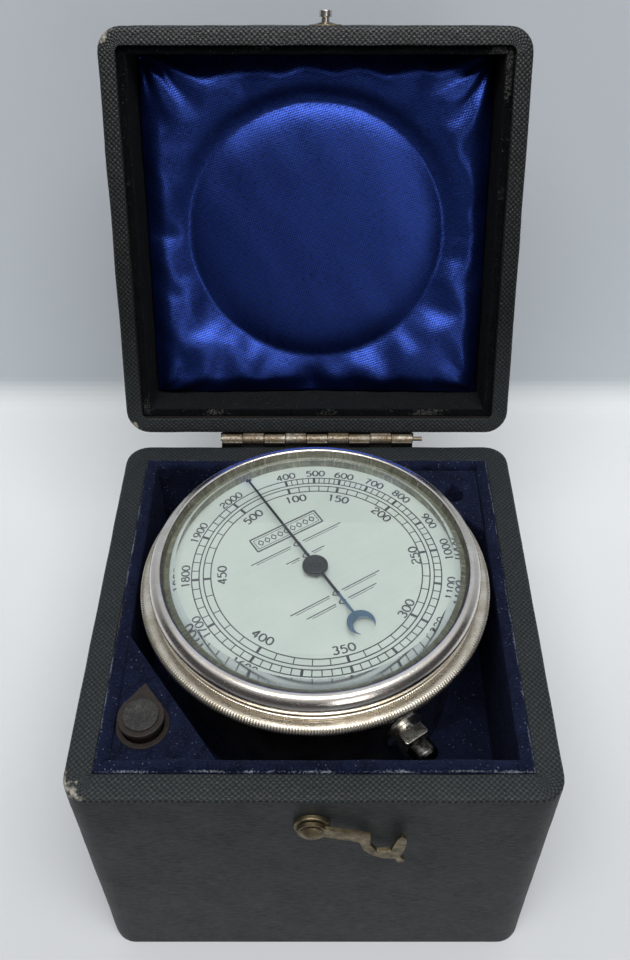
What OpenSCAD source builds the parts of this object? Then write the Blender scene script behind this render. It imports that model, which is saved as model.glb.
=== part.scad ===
// Cased hand speed indicator: a round dial instrument in a velvet-lined box.
// The origin is the centre of the box's underside; the box's front faces -Y.

/* [Dial and glass] */
// Radius of the dial that shows inside the spacer ring
dial_r = 45; // [40:0.5:50]
// Thickness of the dial plate
dial_t = 0.8; // [0.5:0.1:1.2]
// Height from the dial's face to the underside of the glass
dial_gap = 3.4; // [3.2:0.1:4.5]
// Thickness of the spacer ring between dial and glass
spacer_t = 1.9; // [1.5:0.1:2.4]
// Thickness of the glass
glass_t = 3.4; // [2.5:0.1:4]
// How far the glass runs out beyond the spacer ring
glass_seat = 0.4; // [0.2:0.1:0.8]
// Width of the bevel round the glass
bevel_w = 3.4; // [2.5:0.1:3.6]
// Drop of the bevel round the glass
bevel_h = 1.2; // [0.6:0.1:1.6]

/* [Bezel and flange] */
// Radial width of the bezel's rounded crest
bezel_w = 4.2; // [3.6:0.1:5]
// Height of the bezel above the flange
bezel_h = 8.6; // [8:0.1:9.6]
// How far the milled flange stands out beyond the bezel
flange_lip = 3.5; // [2.5:0.1:5]
// Thickness of the milled flange
flange_t = 2.8; // [2.2:0.1:3.6]
// Height of the flange's inner upstand, which carries the dial
upstand_h = 1.1; // [0.8:0.1:1.6]
// Number of teeth round the milled edge
coin_teeth = 360; // [180:12:420]
// Depth of the milled teeth
coin_depth = 0.3; // [0.2:0.05:0.45]

/* [Drum] */
// How far the drum's outside lies beyond the dial's visible edge
drum_over = 1.5; // [1:0.1:2]
// Depth of the drum below the flange
drum_h = 48.8; // [46:0.2:56]
// Wall of the drum
drum_wall = 1.4; // [1:0.1:2]
// Thickness of the drum's floor
drum_floor = 1.6; // [1.2:0.1:2.4]
// Turn of the spindle from the front towards the right
spindle_turn = 35; // [20:1:45]

/* [Spindle] */
// Depth of the spindle's axis below the flange
spindle_drop = 23; // [21.5:0.1:24]
// Radius of the spindle
spindle_r = 2; // [1.6:0.1:2.4]
// Running clearance round shafts
run_fit = 0.05; // [0.02:0.01:0.08]
// Radius of the gland's round flange
gland_flange_r = 6.8; // [6:0.1:8]
// Thickness of the gland's round flange
gland_flange_t = 1.3; // [1:0.1:2]
// Radius of the gland's body in the drum wall
gland_r = 5; // [4.5:0.1:5.6]
// Radius of the gland's neck
neck_r = 3.7; // [3.2:0.1:4]
// Length of the gland's neck
neck_l = 1.9; // [1.2:0.1:3]
// Width of the gland nut across its flats
nut_flats = 8.2; // [7:0.1:9]
// Length of the gland nut
nut_l = 4.1; // [3:0.1:5]
// Outside radius of the drive socket
socket_r = 4; // [3.6:0.1:4.6]
// Length of the drive socket
socket_l = 5.8; // [5:0.1:7]
// Radius of the drive socket's bore
socket_bore_r = 2.1; // [1.9:0.05:2.4]
// Depth of the drive socket's bore
socket_bore_l = 4; // [3:0.1:4.5]
// Gap between the nut and the drive socket
socket_gap = 0.3; // [0.2:0.05:0.6]
// Length of the slow spindle's free end
slow_end_l = 5.5; // [5:0.1:7]
// Radius of the slow spindle's free end
slow_end_r = 1.8; // [1.5:0.05:1.9]
// Length of the slow spindle's gland nut
slow_nut_l = 3; // [2.4:0.1:4]

/* [Governor] */
// Distance of the flyweights' pivots in front of the centre
governor_y = 17; // [16.6:0.1:18]
// Distance of the flyweights' pivots from the spindle's axis
pivot_out = 12; // [11.9:0.05:12.2]
// Swing of the flyweights
swing = 60; // [56:1:60]
// Radius of the flyweights' pivot pins
pivot_r = 1; // [0.8:0.05:1.2]
// Length of the flyweights' long arms
weight_arm = 8.5; // [7.5:0.1:8.8]
// Radius of the flyweights
weight_r = 3; // [2.4:0.1:3.1]
// Length of the flyweights across the cage
weight_l = 6; // [5:0.1:6.4]
// Radius of the flyweights' round toes
toe_r = 0.8; // [0.7:0.05:0.85]
// Radius of the cage's front disc
cage_r = 14; // [13.4:0.1:15]
// Thickness of the cage's disc
cage_t = 2; // [1.6:0.1:2.4]
// Thickness of the cage's cheeks
cheek_t = 1.2; // [1:0.1:1.6]
// Radius of the sliding sleeve's body
sleeve_r = 3.4; // [2.8:0.05:3.5]
// Radius of the sleeve's collars
collar_r = 6; // [5.8:0.05:6.05]
// Thickness of each of the sleeve's collars
collar_t = 1.5; // [1.2:0.1:1.6]
// Free space on both sides of the toes in their groove
toe_play = 0.3; // [0.25:0.05:0.4]
// Width of the groove for the rack's yoke
groove_w = 2; // [1.8:0.05:2.2]
// Distance of the yoke's groove in front of the centre, at rest
yoke_y = 4.5; // [4.2:0.1:4.8]

/* [Gears and pointer train] */
// Module of the slow spindle's gears
slow_module = 0.4; // [0.36:0.01:0.4]
// Teeth of the small gear on the spindle
small_teeth = 12; // [10:1:13]
// Teeth of the large gear on the slow spindle
large_teeth = 48; // [40:1:49]
// Width of the gear wheels
gear_w = 3; // [2:0.1:3.6]
// Module of the pointer's rack and pinion
rack_module = 0.25; // [0.24:0.005:0.26]
// Teeth of the pointer's pinion
pinion_teeth = 10; // [9:1:11]
// Travel of the rack for the pointer's whole sweep
rack_travel = 7.55; // [7.3:0.05:7.6]
// Width of the rack and its pinion
rack_h = 2.6; // [2:0.1:3]
// Radius of the pointer's arbor
arbor_r = 0.6; // [0.5:0.05:0.7]
// Length of the pointer from the centre to its tip
pointer_l = 43.2; // [38:0.1:44]
// Thickness of the pointer
pointer_t = 0.3; // [0.2:0.05:0.5]
// Distance from the centre to the crescent's centre
crescent_y = 25.6; // [20:0.1:28]
// Outer radius of the crescent
crescent_r = 4.3; // [3.5:0.1:5]
// Radius of the pointer's hub
pointer_hub_r = 4; // [3:0.1:5]
// Turn of the zero mark, from the back towards the left
zero_turn = 32.4; // [20:0.1:45]

/* [Case] */
// Free space between flange and lining at the sides
side_gap = 2.7; // [2:0.1:4]
// Free space between flange and lining at front and back
front_gap = 2.2; // [2:0.1:4]
// Thickness of the case's walls with their covering
wall_t = 8; // [7:0.1:10]
// Height of the case's lower part
case_h = 103; // [96:0.5:120]
// Radius of the case's upright corners
corner_r = 8; // [6:0.1:11]
// Thickness of the covering
cover_t = 0.8; // [0.6:0.1:1.2]
// Thickness of the case's wooden floor
floor_t = 5.4; // [4:0.1:8]
// Thickness of the sheet under the case
sheet_t = 0.6; // [0.4:0.1:1]
// Depth of the instrument's seat below the case's rim
seat_depth = 41; // [39.5:0.1:44]

/* [Lining] */
// Thickness of the velvet-covered lining boards
liner_t = 4.3; // [3:0.1:5]
// How far the lining stands above the rim
liner_up = 1; // [0.5:0.1:1.4]
// Thickness of the velvet floor pad
pad_t = 2; // [1:0.1:3]
// Thickness of the shelf that carries the instrument
shelf_t = 5; // [4:0.1:7]
// Thickness of the rails under the shelf
rail_t = 6; // [4:0.1:9]
// Front leg of the front left corner block
block_a = 30; // [26:0.5:31]
// Side leg of the front left corner block
block_b = 42; // [38:0.5:43]
// Legs of the back right corner block
block_c = 30; // [26:0.5:34]

/* [Accessory tip] */
// Distance of the tip's hole from the left lining
tip_x = 8; // [8:0.1:9]
// Distance of the tip's hole from the front lining
tip_y = 11; // [9.5:0.1:12]
// Radius of the tip's hole
tip_hole_r = 6.2; // [5.6:0.1:6.4]
// Depth of the tip's hole
tip_hole_l = 18; // [14:0.5:24]
// Outer radius of the worn ring round the tip's hole
tip_ring_r = 7.8; // [7.2:0.1:7.9]
// Radius of the tip's head plate
tip_head_r = 6.8; // [6.4:0.1:7]
// Distance from the head plate's centre to its corner
tip_corner = 11; // [9.8:0.1:11.4]
// Height of the head plate above the case's rim
tip_head_up = 3.4; // [2:0.1:4]
// Thickness of the head plate
tip_head_t = 1.6; // [1.2:0.1:2.4]
// Radius of the tip's dished face
tip_face_r = 5.2; // [4.6:0.1:6]
// Radius of the empty hole in the back right block
spare_hole_r = 3.3; // [2.5:0.1:4]
// Depth of the empty hole
spare_hole_l = 20; // [12:0.5:30]
// Distance of the empty hole from both lining boards
spare_in = 9; // [7:0.1:10]

/* [Lid] */
// Opening angle of the lid
lid_open = 111.2; // [95:0.1:115]
// Width of the lid
lid_over = 0.4; // [0:0.1:1]
// Thickness of the lid's walls with their covering
lid_wall = 5.8; // [5:0.1:7]
// Thickness of the lid's top board
lid_board = 5; // [4:0.1:8]
// Thickness of the lining boards in the lid
lid_liner_t = 2.8; // [2:0.1:3.4]
// Depth of the lid's lining below its rim
lid_liner_in = 2.4; // [2:0.1:4]
// Free space between glass and satin when closed
pad_clear = 0.7; // [0.5:0.1:1.5]
// Padding behind the satin disc
pad_base = 4.2; // [3:0.1:6]
// How far the pad's outer field stands above its disc
pad_rise = 3.6; // [2:0.1:5]
// Depth of the ring that the bezel presses into the satin
pad_ring_h = 2.2; // [1:0.1:3]
// Radius of the satin disc
pad_disc_r = 43.5; // [40:0.5:46]
// Outer radius of the pressed ring
pad_ring_r = 53.4; // [52:0.1:56]

/* [Hinge] */
// Distance of the hinge pin behind the case
pin_out = 2.6; // [2.4:0.1:3]
// Height of the hinge pin above the rim
pin_up = 1.2; // [1:0.1:2]
// Length of the hinge
hinge_l = 71; // [50:0.5:90]
// Number of knuckles, an odd number
knuckles = 9; // [5:2:11]
// Radius of the knuckles
knuckle_r = 1.7; // [1.6:0.05:1.9]
// Radius of the hinge pin
pin_r = 0.8; // [0.6:0.05:1]
// How far the hinge pin sticks out on the right
pin_stub = 3.6; // [0.5:0.1:5]
// Gap between a leaf and the knuckles of the other leaf
leaf_gap = 0.15; // [0.1:0.05:0.3]
// Gap between neighbouring knuckles
knuckle_gap = 0.3; // [0.2:0.05:0.5]
// Thickness of the hinge leaves
leaf_t = 1.2; // [1:0.05:1.3]
// Height of the hinge leaves
leaf_h = 12; // [8:0.5:16]
// Radius of the hinge screws' heads
screw_r = 1.6; // [1.2:0.1:2]

/* [Hook] */
// Distance of the hook's pivot below the rim
hook_drop = 12.6; // [11:0.1:16]
// Distance of the hook's pivot from the middle, to the left
hook_x = 0.6; // [0:0.1:3]
// Radius of the washer behind the hook
washer_r = 5.2; // [4.5:0.1:6]
// Thickness of the washer behind the hook
washer_t = 1.7; // [1.6:0.1:2]
// Radius of the hook's eye
eye_r = 4.2; // [3.6:0.1:4.8]
// Thickness of the hook
hook_t = 1.2; // [1:0.1:1.4]
// Radius of the hook's rivet
rivet_r = 1.3; // [1:0.05:1.6]
// Radius of the rivet's domed head
rivet_head_r = 3.4; // [2.8:0.1:4]
// Radius of the peg that the hook catches
peg_r = 1.4; // [1.2:0.05:1.6]
// Distance of the peg to the right of the hook's pivot
peg_x = 3.8; // [3:0.1:4.6]
// Free space between hook and peg
hook_play = 0.4; // [0.3:0.05:0.6]

/* [Hidden] */
$fn = 64;
leather = "#20262a";
velvet = "#141a4a";
satin = "#1a2c98";
wood = "#8a6a44";
brass = "#a88a4c";
nickel = "#c8c2b4";
steel = "#8f9398";
blued = "#28364a";
black = "#16171a";

// Radii of the instrument's head
spacer_r = dial_r + spacer_t;
glass_r = spacer_r + glass_seat;
head_fit = 0.1;
bezel_r = glass_r + bezel_w;
flange_r = bezel_r + flange_lip;
drum_r = dial_r + drum_over;
drum_in = drum_r - drum_wall;

// Heights, upwards from the case's underside
drum_z = case_h - seat_depth;
flange_z = drum_z + drum_h;
flange_top = flange_z + flange_t;
dial_z = flange_top + upstand_h;
dial_face = dial_z + dial_t;
glass_z = dial_face + dial_gap;
glass_top = glass_z + glass_t;
spindle_z = flange_z - spindle_drop;
inner_floor = drum_z + drum_floor;
plate_t = 1.6;
plate_drop = 1.2;
plate_z = flange_z - plate_t - plate_drop;

// Case
in_x = flange_r + side_gap;
in_y = flange_r + front_gap;
box_x = in_x + liner_t;
box_y = in_y + liner_t;
case_w = 2 * (box_x + wall_t);
case_d = 2 * (box_y + wall_t);
inner_z = sheet_t + floor_t;
pad_top = inner_z + pad_t;
shelf_z = drum_z - shelf_t;
liner_top = case_h + liner_up;
back_y = case_d / 2;
front_y = -case_d / 2;

// Lid, in its closed place
lid_gap = 0.2;
lid_z = case_h + lid_gap;
lid_w = case_w + lid_over;
lid_d = case_d + 2 * lid_over;
lid_mid = -lid_over;
lid_front = lid_mid - lid_d / 2;
disc_z = glass_top + pad_clear;
lid_in_top = disc_z + pad_base;
lid_top = lid_in_top + lid_board + cover_t;
lid_in_x = lid_w / 2 - lid_wall;
lid_in_y = lid_d / 2 - lid_wall;
lid_corner = corner_r;
pin_y = back_y + pin_out;
pin_z = case_h + pin_up;
tab_h = knuckle_r + 1.3;
soft_gap = 0.3;
glue_t = 0.1;
spare_shift = 3;
ring_sink = 0.6;
tip_face_t = 0.7;
plate_w = 10.6;
catch_t = 0.35;
plate_corner = 3;

// Spindle line, measured outwards from the drum's centre
gland_out = drum_r + gland_flange_t;
neck_out = gland_out + neck_l;
nut_out = neck_out + nut_l;
socket_in = nut_out + socket_gap;
socket_out = socket_in + socket_l;
slow_drop = slow_module * (small_teeth + large_teeth) / 2;
slow_z = spindle_z - slow_drop;
slow_nut_out = gland_out + slow_nut_l;
slow_shoulder = slow_nut_out + 0.5;
slow_out = slow_shoulder + slow_end_l;
bracket_t = 3;
bracket_half_w = 10;
bracket_up = 8;
bracket_foot = 4;
bracket_foot_t = 2;
rear_y = drum_in - 19.1;
gear_y = rear_y + bracket_t + 2;
front_bracket_y = -drum_in + 9.1;
shaft_end = gear_y + gear_w + 1;
gear_seat_r = 1.2;

// Governor: the toe's length gives the rack's travel over the swing
toe_l = rack_travel / 2 / sin(swing / 2);
toe_groove_w = 2 * (toe_r + toe_play);
toe_groove_y = -governor_y + rack_travel / 2;
cheek_x = weight_l / 2 + 0.3;
disc_y = -governor_y - weight_arm - weight_r - cage_t - 0.5;
cage_end = -governor_y + pivot_r + 1;

// Rack and pinion
pinion_r = rack_module * pinion_teeth / 2;
rack_x = pinion_r + 0.31;
rack_w = 2.4;
rack_drop = 1.4;
rack_z = plate_z - rack_drop - rack_h;
cock_t = 1.5;
pillar_x = drum_in - 11.1;
pillar_y = 16;
pillar_r = 2.5;
cock_z = rack_z - 1.2 - cock_t;
yoke_t = groove_w - 0.5;
pointer_z = dial_face + 2.1;
boss_neck_r = arbor_r + 0.7;

// Hook and peg
hook_z = case_h - hook_drop;
hook_reach = 22.7;
hook_notch = -26.7;
notch_r = peg_r + hook_play;
peg_z = hook_z + sqrt(hook_reach * hook_reach - peg_x * peg_x);
hook_face = front_y - washer_t - 0.2;
rivet_l = 6;
peg_l = 4;
screw_l = 5;
peg_in = hook_face + 0.15;
peg_out = hook_face - hook_t - 0.4;
peg_head_t = 2;

// The instrument's own frame: -Y runs outwards along the spindle
module in_drum() {
    rotate([0, 0, spindle_turn]) children();
}

// A cylinder along Y from y0 to y1
module rod_y(r, y0, y1, sides = 48) {
    translate([0, y1, 0]) rotate([90, 0, 0]) cylinder(r = r, h = y1 - y0, $fn = sides);
}

// A cylinder along X from x0 to x1
module rod_x(r, x0, x1, sides = 32) {
    translate([x0, 0, 0]) rotate([0, 90, 0]) cylinder(r = r, h = x1 - x0, $fn = sides);
}

// A rectangle with round corners, centred
module round_rect(w, d, r) {
    square([w - 2 * r, d], center = true);
    square([w, d - 2 * r], center = true);
    for (x = [-1, 1], y = [-1, 1]) translate([x * (w / 2 - r), y * (d / 2 - r)]) circle(r = r);
}

// An upright block with round corners from z0 to z1
module round_block(w, d, r, z0, z1) {
    translate([0, 0, z0]) linear_extrude(z1 - z0) round_rect(w, d, r);
}

// A ring round the Z axis from z0 to z1
module ring_z(r_out, r_in, z0, z1, sides = 180) {
    translate([0, 0, z0]) difference() {
        cylinder(r = r_out, h = z1 - z0, $fn = sides);
        translate([0, 0, -1]) cylinder(r = r_in, h = z1 - z0 + 2, $fn = sides);
    }
}

// Straight-flanked gear outline with one tooth centred at the given angle
module gear_outline(teeth, module_size, first = 0) {
    pitch = 360 / teeth;
    root = module_size * (teeth / 2 - 1.2);
    tip = module_size * (teeth / 2 + 0.85);
    polygon([for (i = [0:teeth - 1], c = [[root, -0.3], [tip, -0.11], [tip, 0.11], [root, 0.3]])
        c[0] * [cos(first + (i + c[1]) * pitch), sin(first + (i + c[1]) * pitch)]]);
}

// A gear with its axis along Y, from y0 to y1
module gear_y_axis(teeth, module_size, y0, y1, first, bore) {
    difference() {
        translate([0, y1, 0]) rotate([90, 0, 0]) linear_extrude(y1 - y0)
            gear_outline(teeth, module_size, first);
        rod_y(bore, y0 - 1, y1 + 1);
    }
}

// Flat spiral band of the given radii, turns and width
module spiral_band(r0, r1, turns, band) {
    steps = 18 * turns;
    step_a = 360 * turns / steps;
    function at(i, r) = (r + (r1 - r0) * i / steps) * [cos(i * step_a), sin(i * step_a)];
    polygon(concat([for (i = [0:steps]) at(i, r0)], [for (i = [steps:-1:0]) at(i, r0 + band)]));
}

// Moves what is drawn in the lid's closed place to its open place
module in_lid() {
    translate([0, pin_y, pin_z]) rotate([-lid_open, 0, 0]) translate([0, -pin_y, -pin_z]) children();
}

// Four boards round a space of 2 * hx by 2 * hy, with thin glue joints
module four_boards(hx, hy, thick, z0, z1) {
    for (s = [-1, 1]) {
        translate([-hx - thick, s * (hy + thick / 2) - thick / 2, z0])
            cube([2 * (hx + thick), thick, z1 - z0]);
        translate([s * (hx + thick / 2) - thick / 2, -hy + glue_t, z0])
            cube([thick, 2 * (hy - glue_t), z1 - z0]);
    }
}

// Case: wooden floor and four walls
module case_carcass() {
    top = case_h - cover_t;
    color(wood) difference() {
        intersection() {
            round_block(case_w - 2 * cover_t, case_d - 2 * cover_t, corner_r - cover_t, sheet_t, top);
            union() {
                translate([-case_w / 2, -case_d / 2, sheet_t]) cube([case_w, case_d, floor_t - glue_t]);
                four_boards(box_x, box_y, wall_t, inner_z, top);
            }
        }
        case_fastener_holes();
    }
}

// Holes in the case's walls for the hook's rivet and the hinge's screws
module case_fastener_holes() {
    translate([-hook_x, 0, hook_z]) rod_y(rivet_r, front_y - 1, front_y + rivet_l, 32);
    hinge_screw_places() rod_y(screw_r / 2, back_y - screw_l, back_y + 1, 24);
}

// Case: leathercloth covering of the walls and the rim
module case_covering() {
    color(leather) difference() {
        round_block(case_w, case_d, corner_r, sheet_t, case_h);
        round_block(case_w - 2 * cover_t, case_d - 2 * cover_t, corner_r - cover_t, -1, case_h - cover_t);
        translate([-box_x, -box_y, inner_z]) cube([2 * box_x, 2 * box_y, case_h]);
        case_fastener_holes();
    }
}

// Case: sheet under the floor
module bottom_sheet() {
    color(black) round_block(case_w, case_d, corner_r, 0, sheet_t);
}

// Four velvet-covered lining boards
module case_liners() {
    color(velvet) four_boards(in_x, in_y, liner_t, inner_z, liner_top);
}

// Velvet pad on the floor
module floor_pad() {
    color(velvet) translate([-in_x, -in_y, inner_z]) cube([2 * in_x, 2 * in_y, pad_t]);
}

// Two rails that carry the shelf
module shelf_rails() {
    color(wood) for (s = [-1, 1])
        translate([s * (in_x - rail_t / 2) - rail_t / 2, -in_y, pad_top])
            cube([rail_t, 2 * in_y, shelf_z - pad_top]);
}

// Velvet shelf under the instrument
module rest_shelf() {
    color(velvet) translate([-in_x, -in_y, shelf_z]) cube([2 * in_x, 2 * in_y, shelf_t]);
}

// Places what follows at the tip's hole
module at_tip() {
    translate([-in_x + tip_x, -in_y + tip_y, 0]) children();
}

// Corner block with the hole for the tip
module front_left_block() {
    color(velvet) difference() {
        translate([-in_x, -in_y, drum_z]) linear_extrude(case_h - drum_z)
            polygon([[0, 0], [block_a, 0], [0, block_b]]);
        at_tip() translate([0, 0, case_h - tip_hole_l]) cylinder(r = tip_hole_r, h = tip_hole_l + 1);
        at_tip() translate([0, 0, case_h - ring_sink]) cylinder(r = tip_ring_r, h = 2);
    }
}

// Corner block with the empty hole
module back_right_block() {
    color(velvet) difference() {
        translate([in_x, in_y, drum_z]) linear_extrude(case_h - drum_z)
            polygon([[0, 0], [-block_c, 0], [0, -block_c]]);
        translate([in_x - spare_in, in_y - spare_in - spare_shift, case_h - spare_hole_l])
            cylinder(r = spare_hole_r, h = spare_hole_l + 1);
    }
}

// Brown ring let into the front left block
module tip_hole_ring() {
    color("#5a3a26") at_tip() ring_z(tip_ring_r, tip_hole_r, case_h - ring_sink, case_h + 0.3, 64);
}

// Accessory tip: shank and cornered head plate
module tip_body() {
    color("#4a3328") at_tip() {
        translate([0, 0, case_h - tip_hole_l + glue_t]) cylinder(r = spindle_r, h = tip_hole_l);
        translate([0, 0, case_h - 6]) cylinder(r = tip_hole_r - 0.9, h = 6 + tip_head_up);
        translate([0, 0, case_h + tip_head_up]) linear_extrude(tip_head_t) {
            circle(r = tip_head_r);
            polygon([
                tip_head_r * [-cos(asin(tip_head_r / tip_corner)), sin(asin(tip_head_r / tip_corner))],
                [0, tip_corner],
                tip_head_r * [cos(asin(tip_head_r / tip_corner)), sin(asin(tip_head_r / tip_corner))],
                [0, 0]
            ]);
        }
    }
}

// Accessory tip: dished face
module tip_face() {
    face_z = case_h + tip_head_up + tip_head_t;
    dish_r = tip_face_r * 2.5;
    color("#2c2c2c") at_tip() difference() {
        translate([0, 0, face_z]) cylinder(r = tip_face_r, h = tip_face_t);
        translate([0, 0, face_z + tip_face_t / 3 + dish_r]) sphere(r = dish_r);
    }
}

// Knuckles with tabs to their leaf, upwards or downwards from the pin:
// even places belong to the case, odd places to the lid
module knuckle_row(first, tab_z) {
    pitch = hinge_l / knuckles;
    for (i = [first:2:knuckles - 1]) {
        x0 = -hinge_l / 2 + i * pitch + knuckle_gap / 2;
        translate([0, pin_y, pin_z]) rod_x(knuckle_r, x0, x0 + pitch - knuckle_gap);
        translate([x0, back_y, pin_z + tab_z]) cube([pitch - knuckle_gap, leaf_t, tab_h]);
    }
}

// Hinge leaf on the case's back
module base_hinge_leaf() {
    color(brass) difference() {
        union() {
            knuckle_row(0, -tab_h);
            translate([-hinge_l / 2, back_y, pin_z - knuckle_r - leaf_gap - leaf_h])
                cube([hinge_l, leaf_t, leaf_h]);
        }
        translate([0, pin_y, pin_z]) rod_x(pin_r + run_fit, -hinge_l, hinge_l);
        hinge_screw_places() rod_y(screw_r / 2, back_y - 1, pin_y + 1, 24);
    }
}

// Places of the four screws in each leaf, on the case's side
module hinge_screw_places() {
    for (i = [0:3]) translate([(i - 1.5) * hinge_l / 4, 0, pin_z - knuckle_r - leaf_h * 0.55]) children();
}

// One hinge screw with a slotted domed head, its head outwards along +Y
module hinge_screw() {
    difference() {
        union() {
            rod_y(screw_r / 2, back_y - screw_l, back_y + leaf_t, 24);
            translate([0, back_y + leaf_t, 0]) rod_y(screw_r, 0, 0.6, 32);
        }
        translate([-screw_r - 1, back_y + leaf_t + 0.25, -0.2]) cube([2 * screw_r + 2, 1, 0.4]);
    }
}

// Screws of the case's hinge leaf
module base_hinge_screws() {
    color(brass) hinge_screw_places() hinge_screw();
}

// Hinge pin
module hinge_pin() {
    color(steel) translate([0, pin_y, pin_z]) rod_x(pin_r, -hinge_l / 2 - 0.4, hinge_l / 2 + pin_stub);
}

// Hinge leaf on the lid's back
module lid_hinge_leaf() {
    color(brass) in_lid() difference() {
        union() {
            knuckle_row(1, 0);
            translate([-hinge_l / 2, back_y, pin_z + knuckle_r + leaf_gap]) cube([hinge_l, leaf_t, leaf_h]);
        }
        translate([0, pin_y, pin_z]) rod_x(pin_r + run_fit, -hinge_l, hinge_l);
        lid_screw_places() rod_y(screw_r / 2, back_y - 1, pin_y + 1, 24);
    }
}

// Places of the four screws in the lid's leaf
module lid_screw_places() {
    for (i = [0:3]) translate([(i - 1.5) * hinge_l / 4, 0, pin_z + knuckle_r + leaf_h * 0.55]) children();
}

// Screws of the lid's hinge leaf
module lid_hinge_screws() {
    color(brass) in_lid() lid_screw_places() hinge_screw();
}

// Washer behind the hook
module hook_washer() {
    color(brass) translate([-hook_x, 0, hook_z]) difference() {
        rod_y(washer_r, front_y - washer_t, front_y);
        rod_y(rivet_r, front_y - washer_t - 1, front_y + 1, 32);
    }
}

// Rivet with a domed head, which the hook turns on
module hook_rivet() {
    head_y = hook_face - hook_t - 0.2;
    dome_r = (rivet_head_r * rivet_head_r + 1.4 * 1.4) / (2 * 1.4);
    color(brass) translate([-hook_x, 0, hook_z]) {
        rod_y(rivet_r, head_y, front_y + rivet_l, 32);
        intersection() {
            translate([0, head_y - 1.4 + dome_r, 0]) sphere(r = dome_r, $fn = 48);
            rod_y(rivet_head_r, head_y - 2, head_y, 48);
        }
    }
}

// Outline of the hook's arm, bend and finger tab, with the pivot at 0, 0
tab_ball = [25.7, -18.2];
hook_arm = [
    [3, 1.9], [16.5, -2], [16.6, -8], [18.6, -11.9], [22.6, -11.9], [23.4, -8], [24.2, -4.6],
    [25.4, -2.4], [26.8, -4.4], [26.9, -8.5], [26, -13.4], [25.4, -15.2], [26.3, -17.4],
    [25, -18.2], [23.9, -16.8], [20.6, -16.5], [17.2, -14.4], [14.7, -11], [13.4, -6], [3, -2.5]
];

// Swing hook: round eye, arm, notch cut along the peg's path, finger tab and ball
module hook() {
    color(brass) translate([-hook_x, hook_face, hook_z]) rotate([90, 0, 0])
    linear_extrude(hook_t) difference() {
        union() {
            circle(r = eye_r);
            polygon(hook_arm);
            translate(tab_ball) circle(r = 1.2, $fn = 32);
        }
        circle(r = rivet_r + run_fit, $fn = 32);
        for (a = [0:4:24]) rotate(hook_notch + a) translate([hook_reach, 0]) circle(r = notch_r, $fn = 32);
    }
}

// Plate under the peg on the lid's front, raised to a blunt cone
module catch_plate() {
    color(brass) in_lid() translate([peg_x - hook_x, 0, peg_z]) difference() {
        translate([0, lid_front, 0]) rotate([90, 0, 0]) {
            linear_extrude(catch_t) round_rect(plate_w, plate_w, plate_corner);
            cylinder(r1 = plate_w / 2 - 0.3, r2 = peg_r + 0.5, h = lid_front - peg_in, $fn = 64);
        }
        rod_y(peg_r - 0.3, lid_front - 2, lid_front + 1, 32);
    }
}

// Headed peg that the hook catches
module catch_peg() {
    color(brass) in_lid() translate([peg_x - hook_x, 0, peg_z]) {
        rod_y(peg_r - 0.3, peg_in, lid_front + peg_l, 32);
        rod_y(peg_r, peg_out, peg_in, 32);
        rod_y(peg_r + 0.7, peg_out - peg_head_t, peg_out, 32);
    }
}

// Lid: wooden top board and four walls
module lid_carcass() {
    low = lid_z + cover_t;
    high = lid_top - cover_t;
    color(wood) in_lid() difference() {
        translate([0, lid_mid, 0]) intersection() {
            round_block(lid_w - 2 * cover_t, lid_d - 2 * cover_t, lid_corner - cover_t, low, high);
            union() {
                translate([-lid_w / 2, -lid_d / 2, lid_in_top + glue_t])
                    cube([lid_w, lid_d, high - lid_in_top]);
                four_boards(lid_in_x, lid_in_y, lid_wall, low, lid_in_top);
            }
        }
        lid_fastener_holes();
    }
}

// Holes in the lid's walls for the peg and the hinge's screws
module lid_fastener_holes() {
    translate([peg_x - hook_x, 0, peg_z]) rod_y(peg_r - 0.3, lid_front - 1, lid_front + peg_l, 32);
    lid_screw_places() rod_y(screw_r / 2, back_y - screw_l, back_y + 1, 24);
}

// Lid: leathercloth covering
module lid_covering() {
    color(leather) in_lid() difference() {
        translate([0, lid_mid, 0]) difference() {
            round_block(lid_w, lid_d, lid_corner, lid_z, lid_top);
            round_block(
                lid_w - 2 * cover_t, lid_d - 2 * cover_t, lid_corner - cover_t,
                lid_z + cover_t, lid_top - cover_t
            );
            translate([-lid_in_x, -lid_in_y, lid_z - 1])
                cube([2 * lid_in_x, 2 * lid_in_y, lid_in_top - lid_z + 1]);
        }
        lid_fastener_holes();
    }
}

// Four lining boards in the lid
module lid_liners() {
    color("#10142a") in_lid() translate([0, lid_mid, 0])
        four_boards(
            lid_in_x - lid_liner_t, lid_in_y - lid_liner_t, lid_liner_t, lid_z + lid_liner_in, lid_in_top
        );
}

// Satin pad with the round place that the bezel presses
module satin_pad() {
    px = lid_in_x - lid_liner_t - soft_gap;
    py = lid_in_y - lid_liner_t - soft_gap;
    field_z = disc_z - pad_rise;
    color(satin) in_lid() difference() {
        translate([-px, lid_mid - py, field_z]) cube([2 * px, 2 * py, lid_in_top - field_z]);
        translate([0, 0, field_z - 1]) cylinder(r = pad_ring_r, h = pad_rise + 1, $fn = 120);
        ring_z(pad_ring_r, pad_disc_r, disc_z - 1, disc_z + pad_ring_h, 120);
    }
}

// Drum: spun cup with two gland holes
module drum() {
    color(black) difference() {
        translate([0, 0, drum_z]) cylinder(r = drum_r, h = drum_h, $fn = 180);
        translate([0, 0, inner_floor]) cylinder(r = drum_in, h = drum_h, $fn = 180);
        in_drum() translate([0, 0, spindle_z]) rod_y(gland_r, -drum_r - 2, -drum_in + 6);
        in_drum() translate([0, 0, slow_z]) rod_y(gland_r, drum_in - 6, drum_r + 2);
    }
}

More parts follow.
